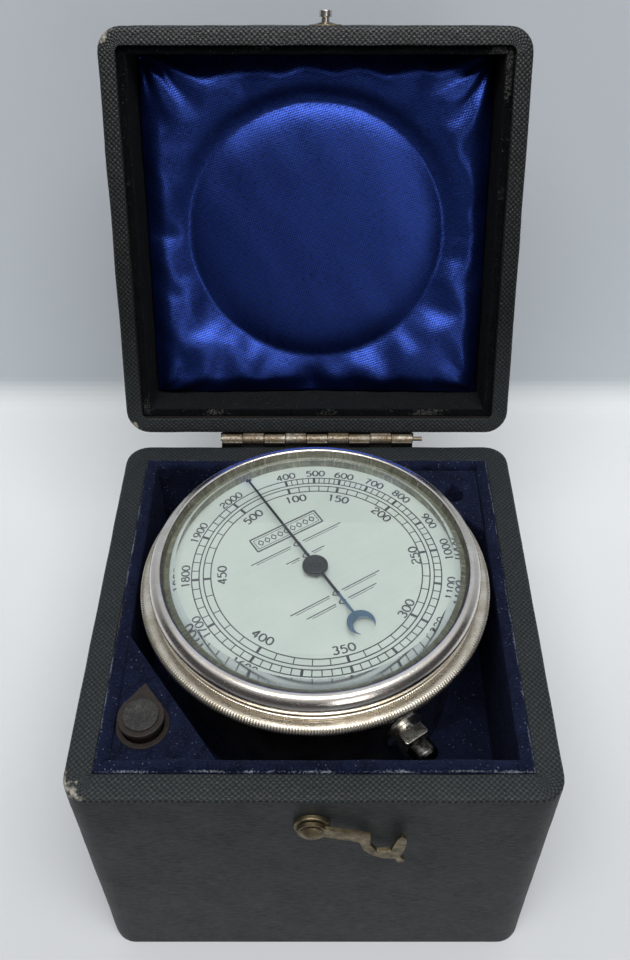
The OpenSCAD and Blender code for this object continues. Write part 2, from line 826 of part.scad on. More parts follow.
// Milled flange with its toothed edge and the upstand for the dial
module milled_flange() {
    tooth = 360 / coin_teeth;
    color(nickel) difference() {
        union() {
            translate([0, 0, flange_z]) linear_extrude(flange_t)
                polygon([for (i = [0:coin_teeth - 1], half = [0, 1])
                    (flange_r - half * coin_depth)
                    * [cos((i + half / 2) * tooth), sin((i + half / 2) * tooth)]]);
            ring_z(spacer_r, drum_in, flange_z, dial_z);
        }
        translate([0, 0, flange_z - 1]) cylinder(r = drum_in, h = flange_t + upstand_h + 2, $fn = 180);
    }
}

// Bezel outline: fillet, undercut, rounded crest and inner bore
module bezel() {
    mid_r = bezel_r - bezel_w * 0.45;
    crest = [for (a = [-10:20:150]) [
        mid_r + bezel_w * 0.45 * cos(a),
        flange_top + bezel_h - bezel_w * 0.62 + bezel_w * 0.62 * sin(a)
    ]];
    color(nickel) rotate_extrude($fn = 180) polygon(concat(
        [
            [spacer_r + head_fit, flange_top],
            [bezel_r - 0.2, flange_top],
            [bezel_r - 0.4, flange_top + 0.6],
            [bezel_r - 1.2, flange_top + 0.9],
            [bezel_r - 1.2, flange_top + 1.7],
            [bezel_r - 0.3, flange_top + 2]
        ],
        crest,
        [
            [glass_r + head_fit, glass_top - bevel_h + 0.4],
            [glass_r + head_fit, glass_z],
            [spacer_r + head_fit, glass_z]
        ]
    ));
}

// Bevelled glass
module glass() {
    color("#dfe8e6", 0.35) rotate_extrude($fn = 180) polygon([
        [0, glass_z],
        [glass_r, glass_z],
        [glass_r, glass_top - bevel_h],
        [glass_r - bevel_w, glass_top],
        [0, glass_top]
    ]);
}

// Silvered ring between dial and glass
module spacer_ring() {
    color("#d8d4c0") ring_z(spacer_r, dial_r, dial_face, glass_z);
}

// Silvered dial plate with the hole for the pointer's arbor
module dial() {
    color("#cfd8d2") difference() {
        translate([0, 0, dial_z]) cylinder(r = spacer_r, h = dial_t, $fn = 180);
        translate([0, 0, dial_z - 1]) cylinder(r = arbor_r + 0.6, h = dial_t + 2);
    }
}

// Plate above the movement
module movement_plate() {
    color(brass) in_drum() difference() {
        translate([0, 0, plate_z]) cylinder(r = drum_in - 1, h = plate_t, $fn = 120);
        translate([0, 0, plate_z - 1]) cylinder(r = arbor_r + run_fit, h = plate_t + 2);
    }
}

// Four pillars between the drum's floor and the movement plate
module pillars() {
    color(brass) in_drum() for (x = [-1, 1], y = [-1, 1])
        translate([x * pillar_x, y * pillar_y, inner_floor])
            cylinder(r = pillar_r, h = plate_z - inner_floor);
}

// Upright bearing plate with a foot towards the front, from y0 to y0 + bracket_t
module bearing_plate(y0) {
    translate([-bracket_half_w, y0, inner_floor])
        cube([2 * bracket_half_w, bracket_t, spindle_z + bracket_up - inner_floor]);
    translate([-bracket_half_w, y0 - bracket_foot, inner_floor])
        cube([2 * bracket_half_w, bracket_t + bracket_foot, bracket_foot_t]);
}

// Front bearing of the spindle
module front_bracket() {
    color(brass) in_drum() difference() {
        bearing_plate(front_bracket_y);
        translate([0, 0, spindle_z])
            rod_y(spindle_r + run_fit, front_bracket_y - 1, front_bracket_y + bracket_t + 1);
    }
}

// Rear bearing of both spindles
module rear_bracket() {
    color(brass) in_drum() difference() {
        bearing_plate(rear_y);
        translate([0, 0, spindle_z]) rod_y(spindle_r + run_fit, rear_y - 1, rear_y + bracket_t + 1);
        translate([0, 0, slow_z]) rod_y(spindle_r + run_fit, rear_y - 1, rear_y + bracket_t + 1);
    }
}

// Bridge that carries the arbor's lower end and backs the rack
module arbor_bridge() {
    left = -8;
    leg = 2;
    right = rack_x + rack_w + 0.1;
    color(brass) in_drum() difference() {
        union() {
            translate([left, -1.3, cock_z]) cube([right + leg - left, 2.6, cock_t]);
            for (x = [left, right]) translate([x, -1.3, cock_z]) cube([leg, 2.6, plate_z - cock_z]);
        }
        translate([0, 0, cock_z - 1]) cylinder(r = arbor_r + run_fit, h = cock_t + 2, $fn = 32);
    }
}

// Gland body with flange and neck, outwards along -Y
module gland_form(neck_end) {
    difference() {
        union() {
            rod_y(gland_r, -drum_r - 0.1, -drum_in + 2);
            rod_y(gland_flange_r, -gland_out, -drum_r);
            rod_y(neck_r, -neck_end, -gland_out + 0.1);
        }
        rod_y(spindle_r + run_fit, -neck_end - 1, -drum_in + 3);
    }
}

// Gland of the spindle
module gland() {
    color(nickel) in_drum() translate([0, 0, spindle_z]) gland_form(neck_out);
}

// Square gland nut with chamfered corners, one face upwards
module nut_form(y_in, y_out) {
    corner = nut_flats / sqrt(2);
    difference() {
        intersection() {
            translate([0, -y_in, 0]) rotate([90, 0, 0]) rotate([0, 0, 45])
                cylinder(r = corner, h = y_out - y_in, $fn = 4);
            translate([0, -y_in + 1, 0]) rotate([90, 0, 0])
                cylinder(r1 = corner + 1.6, r2 = corner - 0.35, h = y_out - y_in + 1, $fn = 64);
        }
        rod_y(spindle_r + run_fit, -y_out - 1, -y_in + 1);
    }
}

// Nut of the spindle's gland
module gland_nut() {
    color(nickel) in_drum() translate([0, 0, spindle_z]) nut_form(neck_out, nut_out);
}

// Gland of the slow spindle
module slow_gland() {
    color(nickel) in_drum() translate([0, 0, slow_z]) rotate([0, 0, 180]) gland_form(gland_out + 1);
}

// Nut of the slow spindle's gland
module slow_gland_nut() {
    color(nickel) in_drum() translate([0, 0, slow_z]) rotate([0, 0, 180])
        nut_form(gland_out + 1, slow_nut_out);
}

// Spindle, which is also the governor's shaft
module spindle() {
    shoulder = rear_y + bracket_t + 0.5;
    color(steel) in_drum() translate([0, 0, spindle_z]) {
        rod_y(spindle_r, -socket_in - 1, shoulder);
        rod_y(gear_seat_r, shoulder, shaft_end, 32);
    }
}

// Drive socket on the spindle's outer end
module drive_socket() {
    color(black) in_drum() translate([0, 0, spindle_z]) difference() {
        union() {
            rod_y(socket_r, -socket_out + 1.2, -socket_in);
            translate([0, -socket_out + 1.2, 0]) rotate([90, 0, 0])
                cylinder(r1 = socket_r, r2 = socket_r - 0.8, h = 1.2, $fn = 64);
        }
        rod_y(spindle_r, -socket_in - 1, -socket_in + 1);
        rod_y(socket_bore_r, -socket_out - 1, -socket_out + socket_bore_l);
    }
}

// Cage on the spindle: front disc and four cheeks for the pivot pins
module governor_cage() {
    color(brass) in_drum() translate([0, 0, spindle_z]) difference() {
        union() {
            rod_y(cage_r, disc_y, disc_y + cage_t, 64);
            for (x = [-1, 1], z = [-1, 1])
                translate([x * (cheek_x + cheek_t / 2) - cheek_t / 2, disc_y, z * (cage_r - 3) - 2.4])
                    cube([cheek_t, cage_end - disc_y, 4.8]);
        }
        rod_y(spindle_r, disc_y - 1, disc_y + cage_t + 1);
        for (z = [-1, 1]) translate([0, -governor_y, z * pivot_out]) rod_x(pivot_r, -cage_r, cage_r);
    }
}

// The flyweights' pivot pins
module cage_pins() {
    pin_half = cheek_x + cheek_t + 1.6;
    color(steel) in_drum() for (z = [-1, 1])
        translate([0, -governor_y, spindle_z + z * pivot_out]) rod_x(pivot_r, -pin_half, pin_half);
}

// Spiral springs on the pivot pins, beside the cage's cheeks
module governor_springs() {
    color(blued) in_drum() for (z = [-1, 1])
        translate([cheek_x + cheek_t + 0.2, -governor_y, spindle_z + z * pivot_out]) rotate([90, 0, 90])
            linear_extrude(1) {
                difference() {
                    circle(r = pivot_r + 0.6, $fn = 32);
                    circle(r = pivot_r, $fn = 32);
                }
                spiral_band(pivot_r + 0.4, 3.2, 3, 0.25);
            }
}

// Small gear on the spindle's inner end
module small_gear() {
    color(brass) in_drum() translate([0, 0, spindle_z])
        gear_y_axis(small_teeth, slow_module, gear_y, gear_y + gear_w, -90, gear_seat_r);
}

// Slow spindle with its free end
module slow_spindle() {
    color(steel) in_drum() translate([0, 0, slow_z]) {
        rod_y(spindle_r, rear_y + 0.3, slow_shoulder);
        rod_y(slow_end_r, slow_shoulder - 1, slow_out);
    }
}

// Large gear on the slow spindle
module large_gear() {
    color(brass) in_drum() translate([0, 0, slow_z])
        gear_y_axis(large_teeth, slow_module, gear_y, gear_y + gear_w, 90 + 180 / large_teeth, spindle_r);
}

// Bell-crank flyweight above the spindle, swung in by half its swing:
// a weight on the long arm and a round toe on the short arm
module flyweight() {
    lever = 2.4;
    translate([0, -governor_y, pivot_out]) rotate([swing / 2, 0, 0]) difference() {
        union() {
            rod_x(weight_r * 0.72, -weight_l / 2, weight_l / 2);
            translate([0, -weight_arm, 0]) rod_x(weight_r, -weight_l / 2, weight_l / 2, 48);
            translate([-lever / 2, -weight_arm, -1]) cube([lever, weight_arm, 2]);
            translate([-lever / 2, -0.5, -toe_l]) cube([lever, 1, toe_l]);
            translate([0, 0, -toe_l]) rod_x(toe_r, -lever / 2, lever / 2);
        }
        rod_x(pivot_r + run_fit, -weight_l, weight_l);
    }
}

// First flyweight
module flyweight_a() {
    color(nickel) in_drum() translate([0, 0, spindle_z]) flyweight();
}

// Second flyweight, across the spindle
module flyweight_b() {
    color(nickel) in_drum() translate([0, 0, spindle_z]) mirror([0, 0, 1]) flyweight();
}

// A groove between two of the sleeve's collars, centred at y
module sleeve_collars(y, width) {
    rod_y(collar_r, y - width / 2 - collar_t, y - width / 2);
    rod_y(collar_r, y + width / 2, y + width / 2 + collar_t);
}

// Sliding sleeve with a groove for the toes and a groove for the yoke
module sliding_sleeve() {
    front = toe_groove_y - toe_groove_w / 2 - collar_t;
    rear = -yoke_y + groove_w / 2 + collar_t;
    color(nickel) in_drum() translate([0, 0, spindle_z]) difference() {
        union() {
            rod_y(sleeve_r, front, rear);
            sleeve_collars(toe_groove_y, toe_groove_w);
            sleeve_collars(-yoke_y, groove_w);
        }
        rod_y(spindle_r + run_fit, front - 1, rear + 1);
    }
}

// Rack with the yoke that rides in the sleeve's groove
module rack_yoke() {
    pitch = PI * rack_module;
    yoke_front = -yoke_y - yoke_t / 2;
    rack_back = rack_travel + 3;
    teeth = floor((rack_travel + 2.4) / pitch);
    half_w = collar_r - 0.4;
    mouth = sleeve_r + 0.3;
    color(steel) in_drum() {
        translate([0, 0, rack_z]) linear_extrude(rack_h) union() {
            translate([rack_x, yoke_front]) square([rack_w, rack_back - yoke_front]);
            for (i = [-1:teeth]) translate([0, (i + 0.5) * pitch]) polygon([
                [rack_x + 0.01, -0.3 * pitch],
                [pinion_r - 0.85 * rack_module, -0.11 * pitch],
                [pinion_r - 0.85 * rack_module, 0.11 * pitch],
                [rack_x + 0.01, 0.3 * pitch]
            ]);
        }
        difference() {
            translate([-half_w, yoke_front, spindle_z - 2])
                cube([2 * half_w, yoke_t, rack_z + rack_h - spindle_z + 2]);
            translate([0, 0, spindle_z]) rod_y(mouth, yoke_front - 1, yoke_front + yoke_t + 1);
            translate([-mouth, yoke_front - 1, spindle_z - 4]) cube([2 * mouth, yoke_t + 2, 4]);
        }
    }
}

// Pointer's arbor with its pinion
module pointer_arbor() {
    color(steel) in_drum() {
        translate([0, 0, cock_z]) cylinder(r = arbor_r, h = pointer_z - cock_z + 0.5, $fn = 32);
        translate([0, 0, rack_z + 0.2]) linear_extrude(rack_h - 0.4)
            gear_outline(pinion_teeth, rack_module, 0);
    }
}

// Blued pointer with a slender arm, small cross bar and crescent tail
module pointer() {
    tail = -crescent_y + crescent_r - 0.4;
    bar = pointer_l - 1;
    half = [
        [0.45, tail], [0.8, 0], [0.34, bar - 0.4], [1, bar - 0.35],
        [1, bar + 0.35], [0.26, bar + 0.4], [0.12, pointer_l]
    ];
    color(blued) rotate([0, 0, zero_turn]) translate([0, 0, pointer_z])
    linear_extrude(pointer_t) difference() {
        union() {
            circle(r = 2.4);
            polygon(concat(half, [for (i = [6:-1:0]) [-half[i][0], half[i][1]]]));
            translate([0, -crescent_y]) circle(r = crescent_r);
        }
        translate([0, -crescent_y - 1.5]) circle(r = crescent_r - 1.1);
        circle(r = boss_neck_r);
    }
}

// Round boss that holds the pointer on its arbor
module pointer_boss() {
    top = pointer_z + pointer_t;
    color(black) difference() {
        union() {
            translate([0, 0, pointer_z - 0.8]) cylinder(r = pointer_hub_r, h = 0.8);
            translate([0, 0, pointer_z - 0.1]) cylinder(r = boss_neck_r, h = pointer_t + 0.2);
            translate([0, 0, top]) cylinder(r = pointer_hub_r - 0.4, h = 0.25);
            translate([0, 0, top]) cylinder(r = 1.8, h = 0.7, $fn = 48);
        }
        translate([0, 0, pointer_z - 2]) cylinder(r = arbor_r, h = 2.5, $fn = 32);
    }
}

// Hair spring under the movement plate, round the pointer's arbor
module hair_spring() {
    color(blued) in_drum() translate([0, 0, plate_z + plate_t + 1.2]) {
        linear_extrude(0.5) spiral_band(arbor_r + 0.1, 6, 4, 0.2);
        translate([6, -0.6, -1.2]) cube([1.2, 1.2, 1.7]);
    }
}

case_carcass();
case_covering();
bottom_sheet();
case_liners();
floor_pad();
shelf_rails();
rest_shelf();
front_left_block();
back_right_block();
tip_hole_ring();
base_hinge_leaf();
base_hinge_screws();
hinge_pin();
hook_washer();
hook_rivet();
hook();
tip_body();
tip_face();
lid_carcass();
lid_covering();
lid_liners();
satin_pad();
lid_hinge_leaf();
lid_hinge_screws();
catch_plate();
catch_peg();
drum();
milled_flange();
bezel();
glass();
spacer_ring();
dial();
movement_plate();
pillars();
front_bracket();
rear_bracket();
arbor_bridge();
gland();
gland_nut();
slow_gland();
slow_gland_nut();
spindle();
drive_socket();
governor_cage();
cage_pins();
governor_springs();
small_gear();
slow_spindle();
large_gear();
flyweight_a();
flyweight_b();
sliding_sleeve();
rack_yoke();
pointer_arbor();
pointer();
pointer_boss();
hair_spring();
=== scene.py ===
import math

import bmesh
import bpy
import numpy as np
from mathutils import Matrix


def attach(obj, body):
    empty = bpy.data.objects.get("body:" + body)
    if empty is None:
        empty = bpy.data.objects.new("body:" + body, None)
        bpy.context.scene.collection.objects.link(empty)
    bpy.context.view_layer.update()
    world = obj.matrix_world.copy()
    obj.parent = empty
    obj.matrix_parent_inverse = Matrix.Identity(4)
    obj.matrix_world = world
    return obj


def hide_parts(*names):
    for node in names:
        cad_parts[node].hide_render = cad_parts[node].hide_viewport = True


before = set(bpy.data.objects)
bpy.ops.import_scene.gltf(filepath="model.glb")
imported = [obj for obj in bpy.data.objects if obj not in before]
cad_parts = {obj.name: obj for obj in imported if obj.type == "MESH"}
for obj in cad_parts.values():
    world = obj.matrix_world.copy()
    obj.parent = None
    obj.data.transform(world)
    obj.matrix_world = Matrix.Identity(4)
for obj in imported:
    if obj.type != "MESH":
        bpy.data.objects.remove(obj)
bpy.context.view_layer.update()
mm = 0.001


def addObject(name, data):
    thing = bpy.data.objects.new(name, data)
    bpy.context.scene.collection.objects.link(thing)
    return thing


def closeMesh(mesh, flatten=None):
    # Merges doubles, dissolves nearly flat edges on request, then turns all faces outwards
    work = bmesh.new()
    work.from_mesh(mesh)
    bmesh.ops.remove_doubles(work, verts=work.verts, dist=1e-6)
    if flatten:
        bmesh.ops.dissolve_limit(work, angle_limit=math.radians(flatten), verts=work.verts, edges=work.edges)
    bmesh.ops.recalc_face_normals(work, faces=work.faces)
    work.to_mesh(mesh)
    work.free()


def smoothMesh(mesh, sharpAngle):
    mesh.polygons.foreach_set("use_smooth", np.ones(len(mesh.polygons), bool))
    if sharpAngle:
        mesh.set_sharp_from_angle(angle=math.radians(sharpAngle))


def newPiece(name, points, faces, uv=None, wearAndShade=None, sharpAngle=None):
    # Mesh from arrays of points in metres and faces; equal points become one, so seams and poles close
    mesh = bpy.data.meshes.new(name)
    mesh.from_pydata(points.tolist(), [], faces.tolist())
    if uv is not None:
        corners = np.empty(len(mesh.loops), np.int32)
        mesh.loops.foreach_get("vertex_index", corners)
        mesh.uv_layers.new(name="surface").data.foreach_set("uv", uv[corners].astype(np.float32).ravel())
    # On most pieces this attribute holds real wear; on the satin it holds painted shade
    if wearAndShade is not None:
        mesh.attributes.new("wearAndShade", "FLOAT", "POINT").data.foreach_set("value", wearAndShade.astype(np.float32))
    closeMesh(mesh)
    smoothMesh(mesh, sharpAngle)
    return addObject(name, mesh)


def gridFaces(rows, columns, first=0):
    # Four-cornered faces between the neighbours of a grid
    index = first + np.arange(rows * columns).reshape(rows, columns)
    return np.stack([index[:-1, :-1], index[1:, :-1], index[1:, 1:], index[:-1, 1:]], axis=-1).reshape(-1, 4)


def gridPiece(name, grid, uv=None, wearAndShade=None, sharpAngle=None):
    # A grid of points in millimetres becomes a surface
    flat = None if uv is None else uv.reshape(-1, 2)
    rub = None if wearAndShade is None else wearAndShade.reshape(-1)
    return newPiece(name, grid.reshape(-1, 3) * mm, gridFaces(*grid.shape[:2]), flat, rub, sharpAngle)


def softPath(points, radii, steps=5, closed=True):
    # Polygon whose corners become parabola arcs of about the given radius, at most half of each side
    here = np.asarray(points, float)
    before, after = np.roll(here, 1, 0), np.roll(here, -1, 0)
    toBefore, toAfter = before - here, after - here
    reachBefore = np.linalg.norm(toBefore, axis=1, keepdims=True)
    reachAfter = np.linalg.norm(toAfter, axis=1, keepdims=True)
    cut = np.broadcast_to(np.asarray(radii, float).reshape(-1, 1), reachBefore.shape)
    start = here + toBefore / reachBefore * np.minimum(cut, reachBefore * 0.49)
    end = here + toAfter / reachAfter * np.minimum(cut, reachAfter * 0.49)
    t = np.linspace(0, 1, steps)[None, :, None]
    arcs = (1 - t) ** 2 * start[:, None] + 2 * t * (1 - t) * here[:, None] + t ** 2 * end[:, None]
    if closed:
        return np.vstack([arcs.reshape(-1, 2), arcs[0, :1]])
    return np.vstack([here[:1], arcs[1:-1].reshape(-1, 2), here[-1:]])


def evenPath(path, step):
    # The same path with more points on its long stretches
    length = np.linalg.norm(np.diff(path, axis=0), axis=1)
    pieces = np.maximum(np.ceil(length / step).astype(int), 1)
    owner = np.repeat(np.arange(len(length)), pieces)
    along = (np.arange(len(owner)) - np.repeat(np.cumsum(pieces) - pieces, pieces)) / pieces[owner]
    spread = path[owner] + (path[owner + 1] - path[owner]) * along[:, None]
    return np.vstack([spread, path[-1:]])


def runLength(path):
    # Distance run along a path at each of its points
    return np.concatenate([[0], np.cumsum(np.linalg.norm(np.diff(path, axis=0), axis=1))])


def waves(points, size, seed, count=9):
    # Smooth bumps between about -1 and 1: a sum of sine waves in seeded directions
    draw = np.random.default_rng(seed)
    direction = draw.normal(size=(count, points.shape[-1]))
    direction *= (draw.uniform(0.6, 1.7, count) / size / np.linalg.norm(direction, axis=1))[:, None]
    phase = draw.uniform(0, 2 * np.pi, count)
    return np.sin(points @ direction.T * 2 * np.pi + phase).sum(-1) / count ** 0.5 * 0.8


def smoothStep(low, high, value):
    # 0 below low, 1 above high, and 3t2 - 2t3 between them
    t = np.clip((value - low) / (high - low), 0, 1)
    return t * t * (3 - 2 * t)


def bell(value, width):
    # 1 at zero, falling with the square of value over width
    return np.exp(-(value / width) ** 2)


def edgeDistance(x, y, size):
    # Distance to the nearest side of a rectangle about the middle
    return np.minimum(size["halfX"] - np.abs(x), size["halfY"] - np.abs(y))


outlinePoints = {"corner": 7, "side": 44}


def boxOutline(size, inward):
    # Rectangle with four quarter circles joined by straight runs, drawn once for each inward distance
    inward = np.asarray(inward, float).reshape(-1, 1, 1)
    radius = np.maximum(size["corner"] - inward, 0.02)
    side = np.array([[1, 1], [-1, 1], [-1, -1], [1, -1]], float)
    turn = np.radians(np.arange(4)[:, None] * 90 + np.linspace(0, 90, outlinePoints["corner"])[None])
    x = side[None, :, :1] * (size["halfX"] - inward - radius) + radius * np.cos(turn)[None]
    y = side[None, :, 1:] * (size["halfY"] - inward - radius) + radius * np.sin(turn)[None]
    arcs = np.stack([x, y], axis=-1)
    t = np.linspace(0, 1, outlinePoints["side"] + 2)[1:-1][None, None, :, None]
    ends = np.roll(arcs, -1, axis=1)[:, :, :1]
    runs = arcs[:, :, -1:] * (1 - t) + ends * t
    outline = np.concatenate([arcs, runs], axis=2).reshape(len(inward), -1, 2)
    return np.concatenate([outline, outline[:, :1]], axis=1)


def wallSurface(name, size, profile, wearAt, wave, seed, lid=False):
    # Profile of inward distance and height, carried round a rectangle outline and swollen by waves
    outline = boxOutline(size, profile[:, 0])
    grid = np.empty(outline.shape[:2] + (3,))
    grid[..., :2] = outline + np.array([0, lidPlace["midY"] if lid else 0])
    grid[..., 2] = profile[:, 1][:, None]
    # Length along the outer edge, plus what a point has moved along that edge on its way inwards
    edge = boxOutline(size, [0.0])[0]
    along = np.gradient(edge, axis=0)
    along /= np.linalg.norm(along, axis=1, keepdims=True)
    around = runLength(edge) + ((outline - edge) * along).sum(-1)
    uv = np.stack(np.broadcast_arrays(around, runLength(profile)[:, None]), axis=-1)
    # On a broad flat face the cloth runs straight on, so its first row is there twice, once for each direction
    straight = broad = profile[:, 0] > size["corner"] + 1
    order = np.arange(len(broad))
    for row in np.nonzero(np.diff(broad.astype(int)))[0][::-1]:
        order = np.insert(order, row + 1, row if broad[row] else row + 1)
        straight = np.insert(straight, row + 1, False)
    grid, outline = grid[order], outline[order]
    uv = np.where(straight[:, None, None], grid[..., :2], uv[order])
    swell = waves(grid, 26, seed) * wave + waves(grid, 7, seed + 1) * wave * 0.3
    outwards = outline / np.linalg.norm(outline, axis=-1, keepdims=True)
    grid[..., :2] += outwards * swell[..., None]
    return gridPiece(name, openLid(grid) if lid else grid, uv, wearAt(grid))


def lathe(name, profile, steps=240, sharpAngle=None, teeth=0, toothDepth=0.0, toothStart=0.0):
    # Profile of radius and height, turned round the upright axis; teeth are a cosine wave cut into its outer part
    columns = teeth * 6 if teeth else steps
    turn = np.linspace(0, 2 * np.pi, columns + 1)
    turn[-1] = 0
    radius, height = profile[None, :, 0], profile[None, :, 1]
    span = np.linspace(0, 2 * np.pi * profile[:, 0].max(), columns + 1)
    uv = np.stack(np.broadcast_arrays(span[:, None], runLength(profile)[None]), axis=-1)
    if teeth:
        cut = smoothStep(toothStart, toothStart + 0.35, radius)
        radius = radius - toothDepth * cut * (0.5 - 0.5 * np.cos(turn * teeth))[:, None]
        uv = None
    x, y = radius * np.cos(turn)[:, None], radius * np.sin(turn)[:, None]
    return gridPiece(name, np.stack(np.broadcast_arrays(x, y, height), axis=-1), uv, None, sharpAngle)


lidPlace = {"open": 111.2, "pinY": 72.1, "pinZ": 104.2, "midY": -0.4}


def openLid(points):
    # From the lid's closed place to its open place: a turn about the hinge pin
    angle = math.radians(lidPlace["open"])
    y, z = points[..., 1] - lidPlace["pinY"], points[..., 2] - lidPlace["pinZ"]
    moved = points.copy()
    moved[..., 1] = y * math.cos(angle) + z * math.sin(angle) + lidPlace["pinY"]
    moved[..., 2] = -y * math.sin(angle) + z * math.cos(angle) + lidPlace["pinZ"]
    return moved


def dress(piece, body, slotName, *materials, replaces=()):
    for material in materials:
        piece.data.materials.append(material)
    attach(piece, body)
    if replaces:
        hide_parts(*replaces)
    return piece


def roundedCopy(node, body, slotName, material, edge, segments=2, name=None):
    # The solid's own shape with its edges broken over the given width
    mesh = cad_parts[node].data.copy()
    mesh.materials.clear()
    closeMesh(mesh, flatten=0.6)
    smoothMesh(mesh, 40)
    piece = addObject(name or node + "_finished", mesh)
    broken = piece.modifiers.new("broken edges", "BEVEL")
    broken.width, broken.segments = edge * mm, segments
    broken.limit_method, broken.angle_limit = "ANGLE", math.radians(32)
    return dress(piece, body, slotName, material, replaces=(node,))


# Tools for materials

def fill(node, values):
    # Links or sets the node's inputs; a colour gets its fourth number here
    for key, value in values.items():
        socket = node.inputs[key]
        if isinstance(value, bpy.types.NodeSocket):
            node.id_data.links.new(value, socket)
        else:
            socket.default_value = (*value[:3], 1.0) if socket.type == "RGBA" else value
    return node


def put(tree, kind, inputs=None, **settings):
    node = tree.nodes.new(kind)
    for key, value in settings.items():
        setattr(node, key, value)
    return fill(node, inputs or {})


def noise(tree, vector, scale, detail=3.0, rough=0.55, twist=0.0):
    return put(tree, "ShaderNodeTexNoise", {"Vector": vector, "Scale": scale, "Detail": detail, "Roughness": rough,
                                            "Distortion": twist}).outputs[0]


def cells(tree, vector, scale):
    # Distance to the nearest of scattered points
    return put(tree, "ShaderNodeTexVoronoi", {"Vector": vector, "Scale": scale, "Randomness": 1.0}).outputs["Distance"]


def remap(tree, value, low, high, toLow=0.0, toHigh=1.0):
    return put(tree, "ShaderNodeMapRange", {0: value, 1: low, 2: high, 3: toLow, 4: toHigh}).outputs[0]


def reckon(tree, operation, first, second=0.0):
    return put(tree, "ShaderNodeMath", {0: first, 1: second}, operation=operation).outputs[0]


def times(tree, first, second):
    return reckon(tree, "MULTIPLY", first, second)


def plus(tree, first, second):
    return reckon(tree, "ADD", first, second)


def tint(tree, factor, first, second):
    return put(tree, "ShaderNodeMix", {0: factor, 6: first, 7: second}, data_type="RGBA").outputs[2]


def vectors(tree, operation, first, second=(0, 0, 0)):
    return put(tree, "ShaderNodeVectorMath", {0: first, 1: second}, operation=operation).outputs


def mapped(tree, vector, stretch, turn=(0, 0, 0)):
    return put(tree, "ShaderNodeMapping", {"Vector": vector, "Rotation": turn, "Scale": stretch}).outputs[0]


def millimetres(tree, turn=0.0, stretch=(1, 1, 1)):
    # Object coordinates in millimetres, so a pattern's scale is its size in millimetres
    place = put(tree, "ShaderNodeTexCoord").outputs["Object"]
    return mapped(tree, mapped(tree, place, (1000, 1000, 1000), (0, 0, turn)), stretch)


def surfacePlace(tree):
    return put(tree, "ShaderNodeTexCoord").outputs["UV"]


def partOf(tree, vector, axis):
    return put(tree, "ShaderNodeSeparateXYZ", {0: vector}).outputs[axis]


def wearValue(tree):
    return put(tree, "ShaderNodeAttribute", attribute_name="wearAndShade").outputs["Fac"]


def bump(tree, height, depth, strength):
    return put(tree, "ShaderNodeBump", {"Height": height, "Distance": depth * mm, "Strength": strength}).outputs[0]


def newMaterial(name, values):
    material = bpy.data.materials.new(name)
    material.use_nodes = True
    tree = material.node_tree
    return material, tree, fill(tree.nodes["Principled BSDF"], values)


def seeThrough(tree, shader, where, tone):
    # Lets light straight through where the mask is 1
    clear = put(tree, "ShaderNodeBsdfTransparent", {"Color": tone})
    mixed = put(tree, "ShaderNodeMixShader", {0: where, 1: shader.outputs[0], 2: clear.outputs[0]})
    fill(tree.nodes["Material Output"], {"Surface": mixed.outputs[0]})


def newGroup(name, inputs, outputs):
    # Shader node group with named sockets: vectors where a tuple is given, numbers otherwise
    tree = bpy.data.node_groups.new(name, "ShaderNodeTree")
    for key, value in inputs.items():
        kind = "NodeSocketVector" if isinstance(value, tuple) else "NodeSocketFloat"
        tree.interface.new_socket(name=key, in_out="INPUT", socket_type=kind).default_value = value
    for key in outputs:
        tree.interface.new_socket(name=key, in_out="OUTPUT", socket_type="NodeSocketFloat")
    return tree, tree.nodes.new("NodeGroupInput").outputs, tree.nodes.new("NodeGroupOutput")


def useGroup(tree, group, values):
    node = tree.nodes.new("ShaderNodeGroup")
    node.node_tree = group
    return fill(node, values).outputs


def makeWeaveGroup():
    # Threads of two directions: the product of two sine waves, broken up by noise; PaintedGlint marks the raised
    # crossings where pale glints are painted
    tree, given, result = newGroup("weave", {"Vector": (0, 0, 0), "Warp": (1, 0, 0), "Weft": (0, 1, 0),
                                             "Unevenness": 0.3}, ("Height", "PaintedGlint"))
    shift = times(tree, noise(tree, given["Vector"], 0.6, 2.0), given["Unevenness"])
    threads = []
    for key in ("Warp", "Weft"):
        run = vectors(tree, "DOT_PRODUCT", given["Vector"], given[key])["Value"]
        threads.append(reckon(tree, "SINE", times(tree, plus(tree, run, shift), 2 * math.pi)))
    crossed = times(tree, *threads)
    fibres = noise(tree, given["Vector"], 2.6, 2.0)
    height = plus(tree, times(tree, remap(tree, crossed, -1.0, 1.0), 0.75), times(tree, fibres, 0.45))
    paintedGlint = times(tree, remap(tree, crossed, 0.3, 0.9), remap(tree, fibres, 0.5, 0.62))
    fill(result, {"Height": height, "PaintedGlint": paintedGlint})
    return tree


def makeAgeGroup():
    # Stains in broad patches, rubbed spots where the wear value is high, and fine scratches
    tree, given, result = newGroup("age", {"Vector": (0, 0, 0), "Size": 8.0, "Wear": 0.0}, ("Stain", "Rub", "Scratch"))
    broadScale = reckon(tree, "DIVIDE", 1.0, given["Size"])
    broad = noise(tree, given["Vector"], broadScale, 4.0, 0.6)
    fine = noise(tree, given["Vector"], times(tree, broadScale, 9.0), 3.0, 0.6)
    drawn = mapped(tree, given["Vector"], (0.35, 9.0, 9.0), (0.3, 0.2, 0.6))
    fill(result, {"Stain": remap(tree, plus(tree, broad, times(tree, fine, 0.35)), 0.5, 0.85),
                  "Rub": remap(tree, plus(tree, given["Wear"], times(tree, fine, 0.9)), 0.95, 1.15),
                  "Scratch": remap(tree, noise(tree, drawn, 1.0, 2.0), 0.55, 0.7)})
    return tree


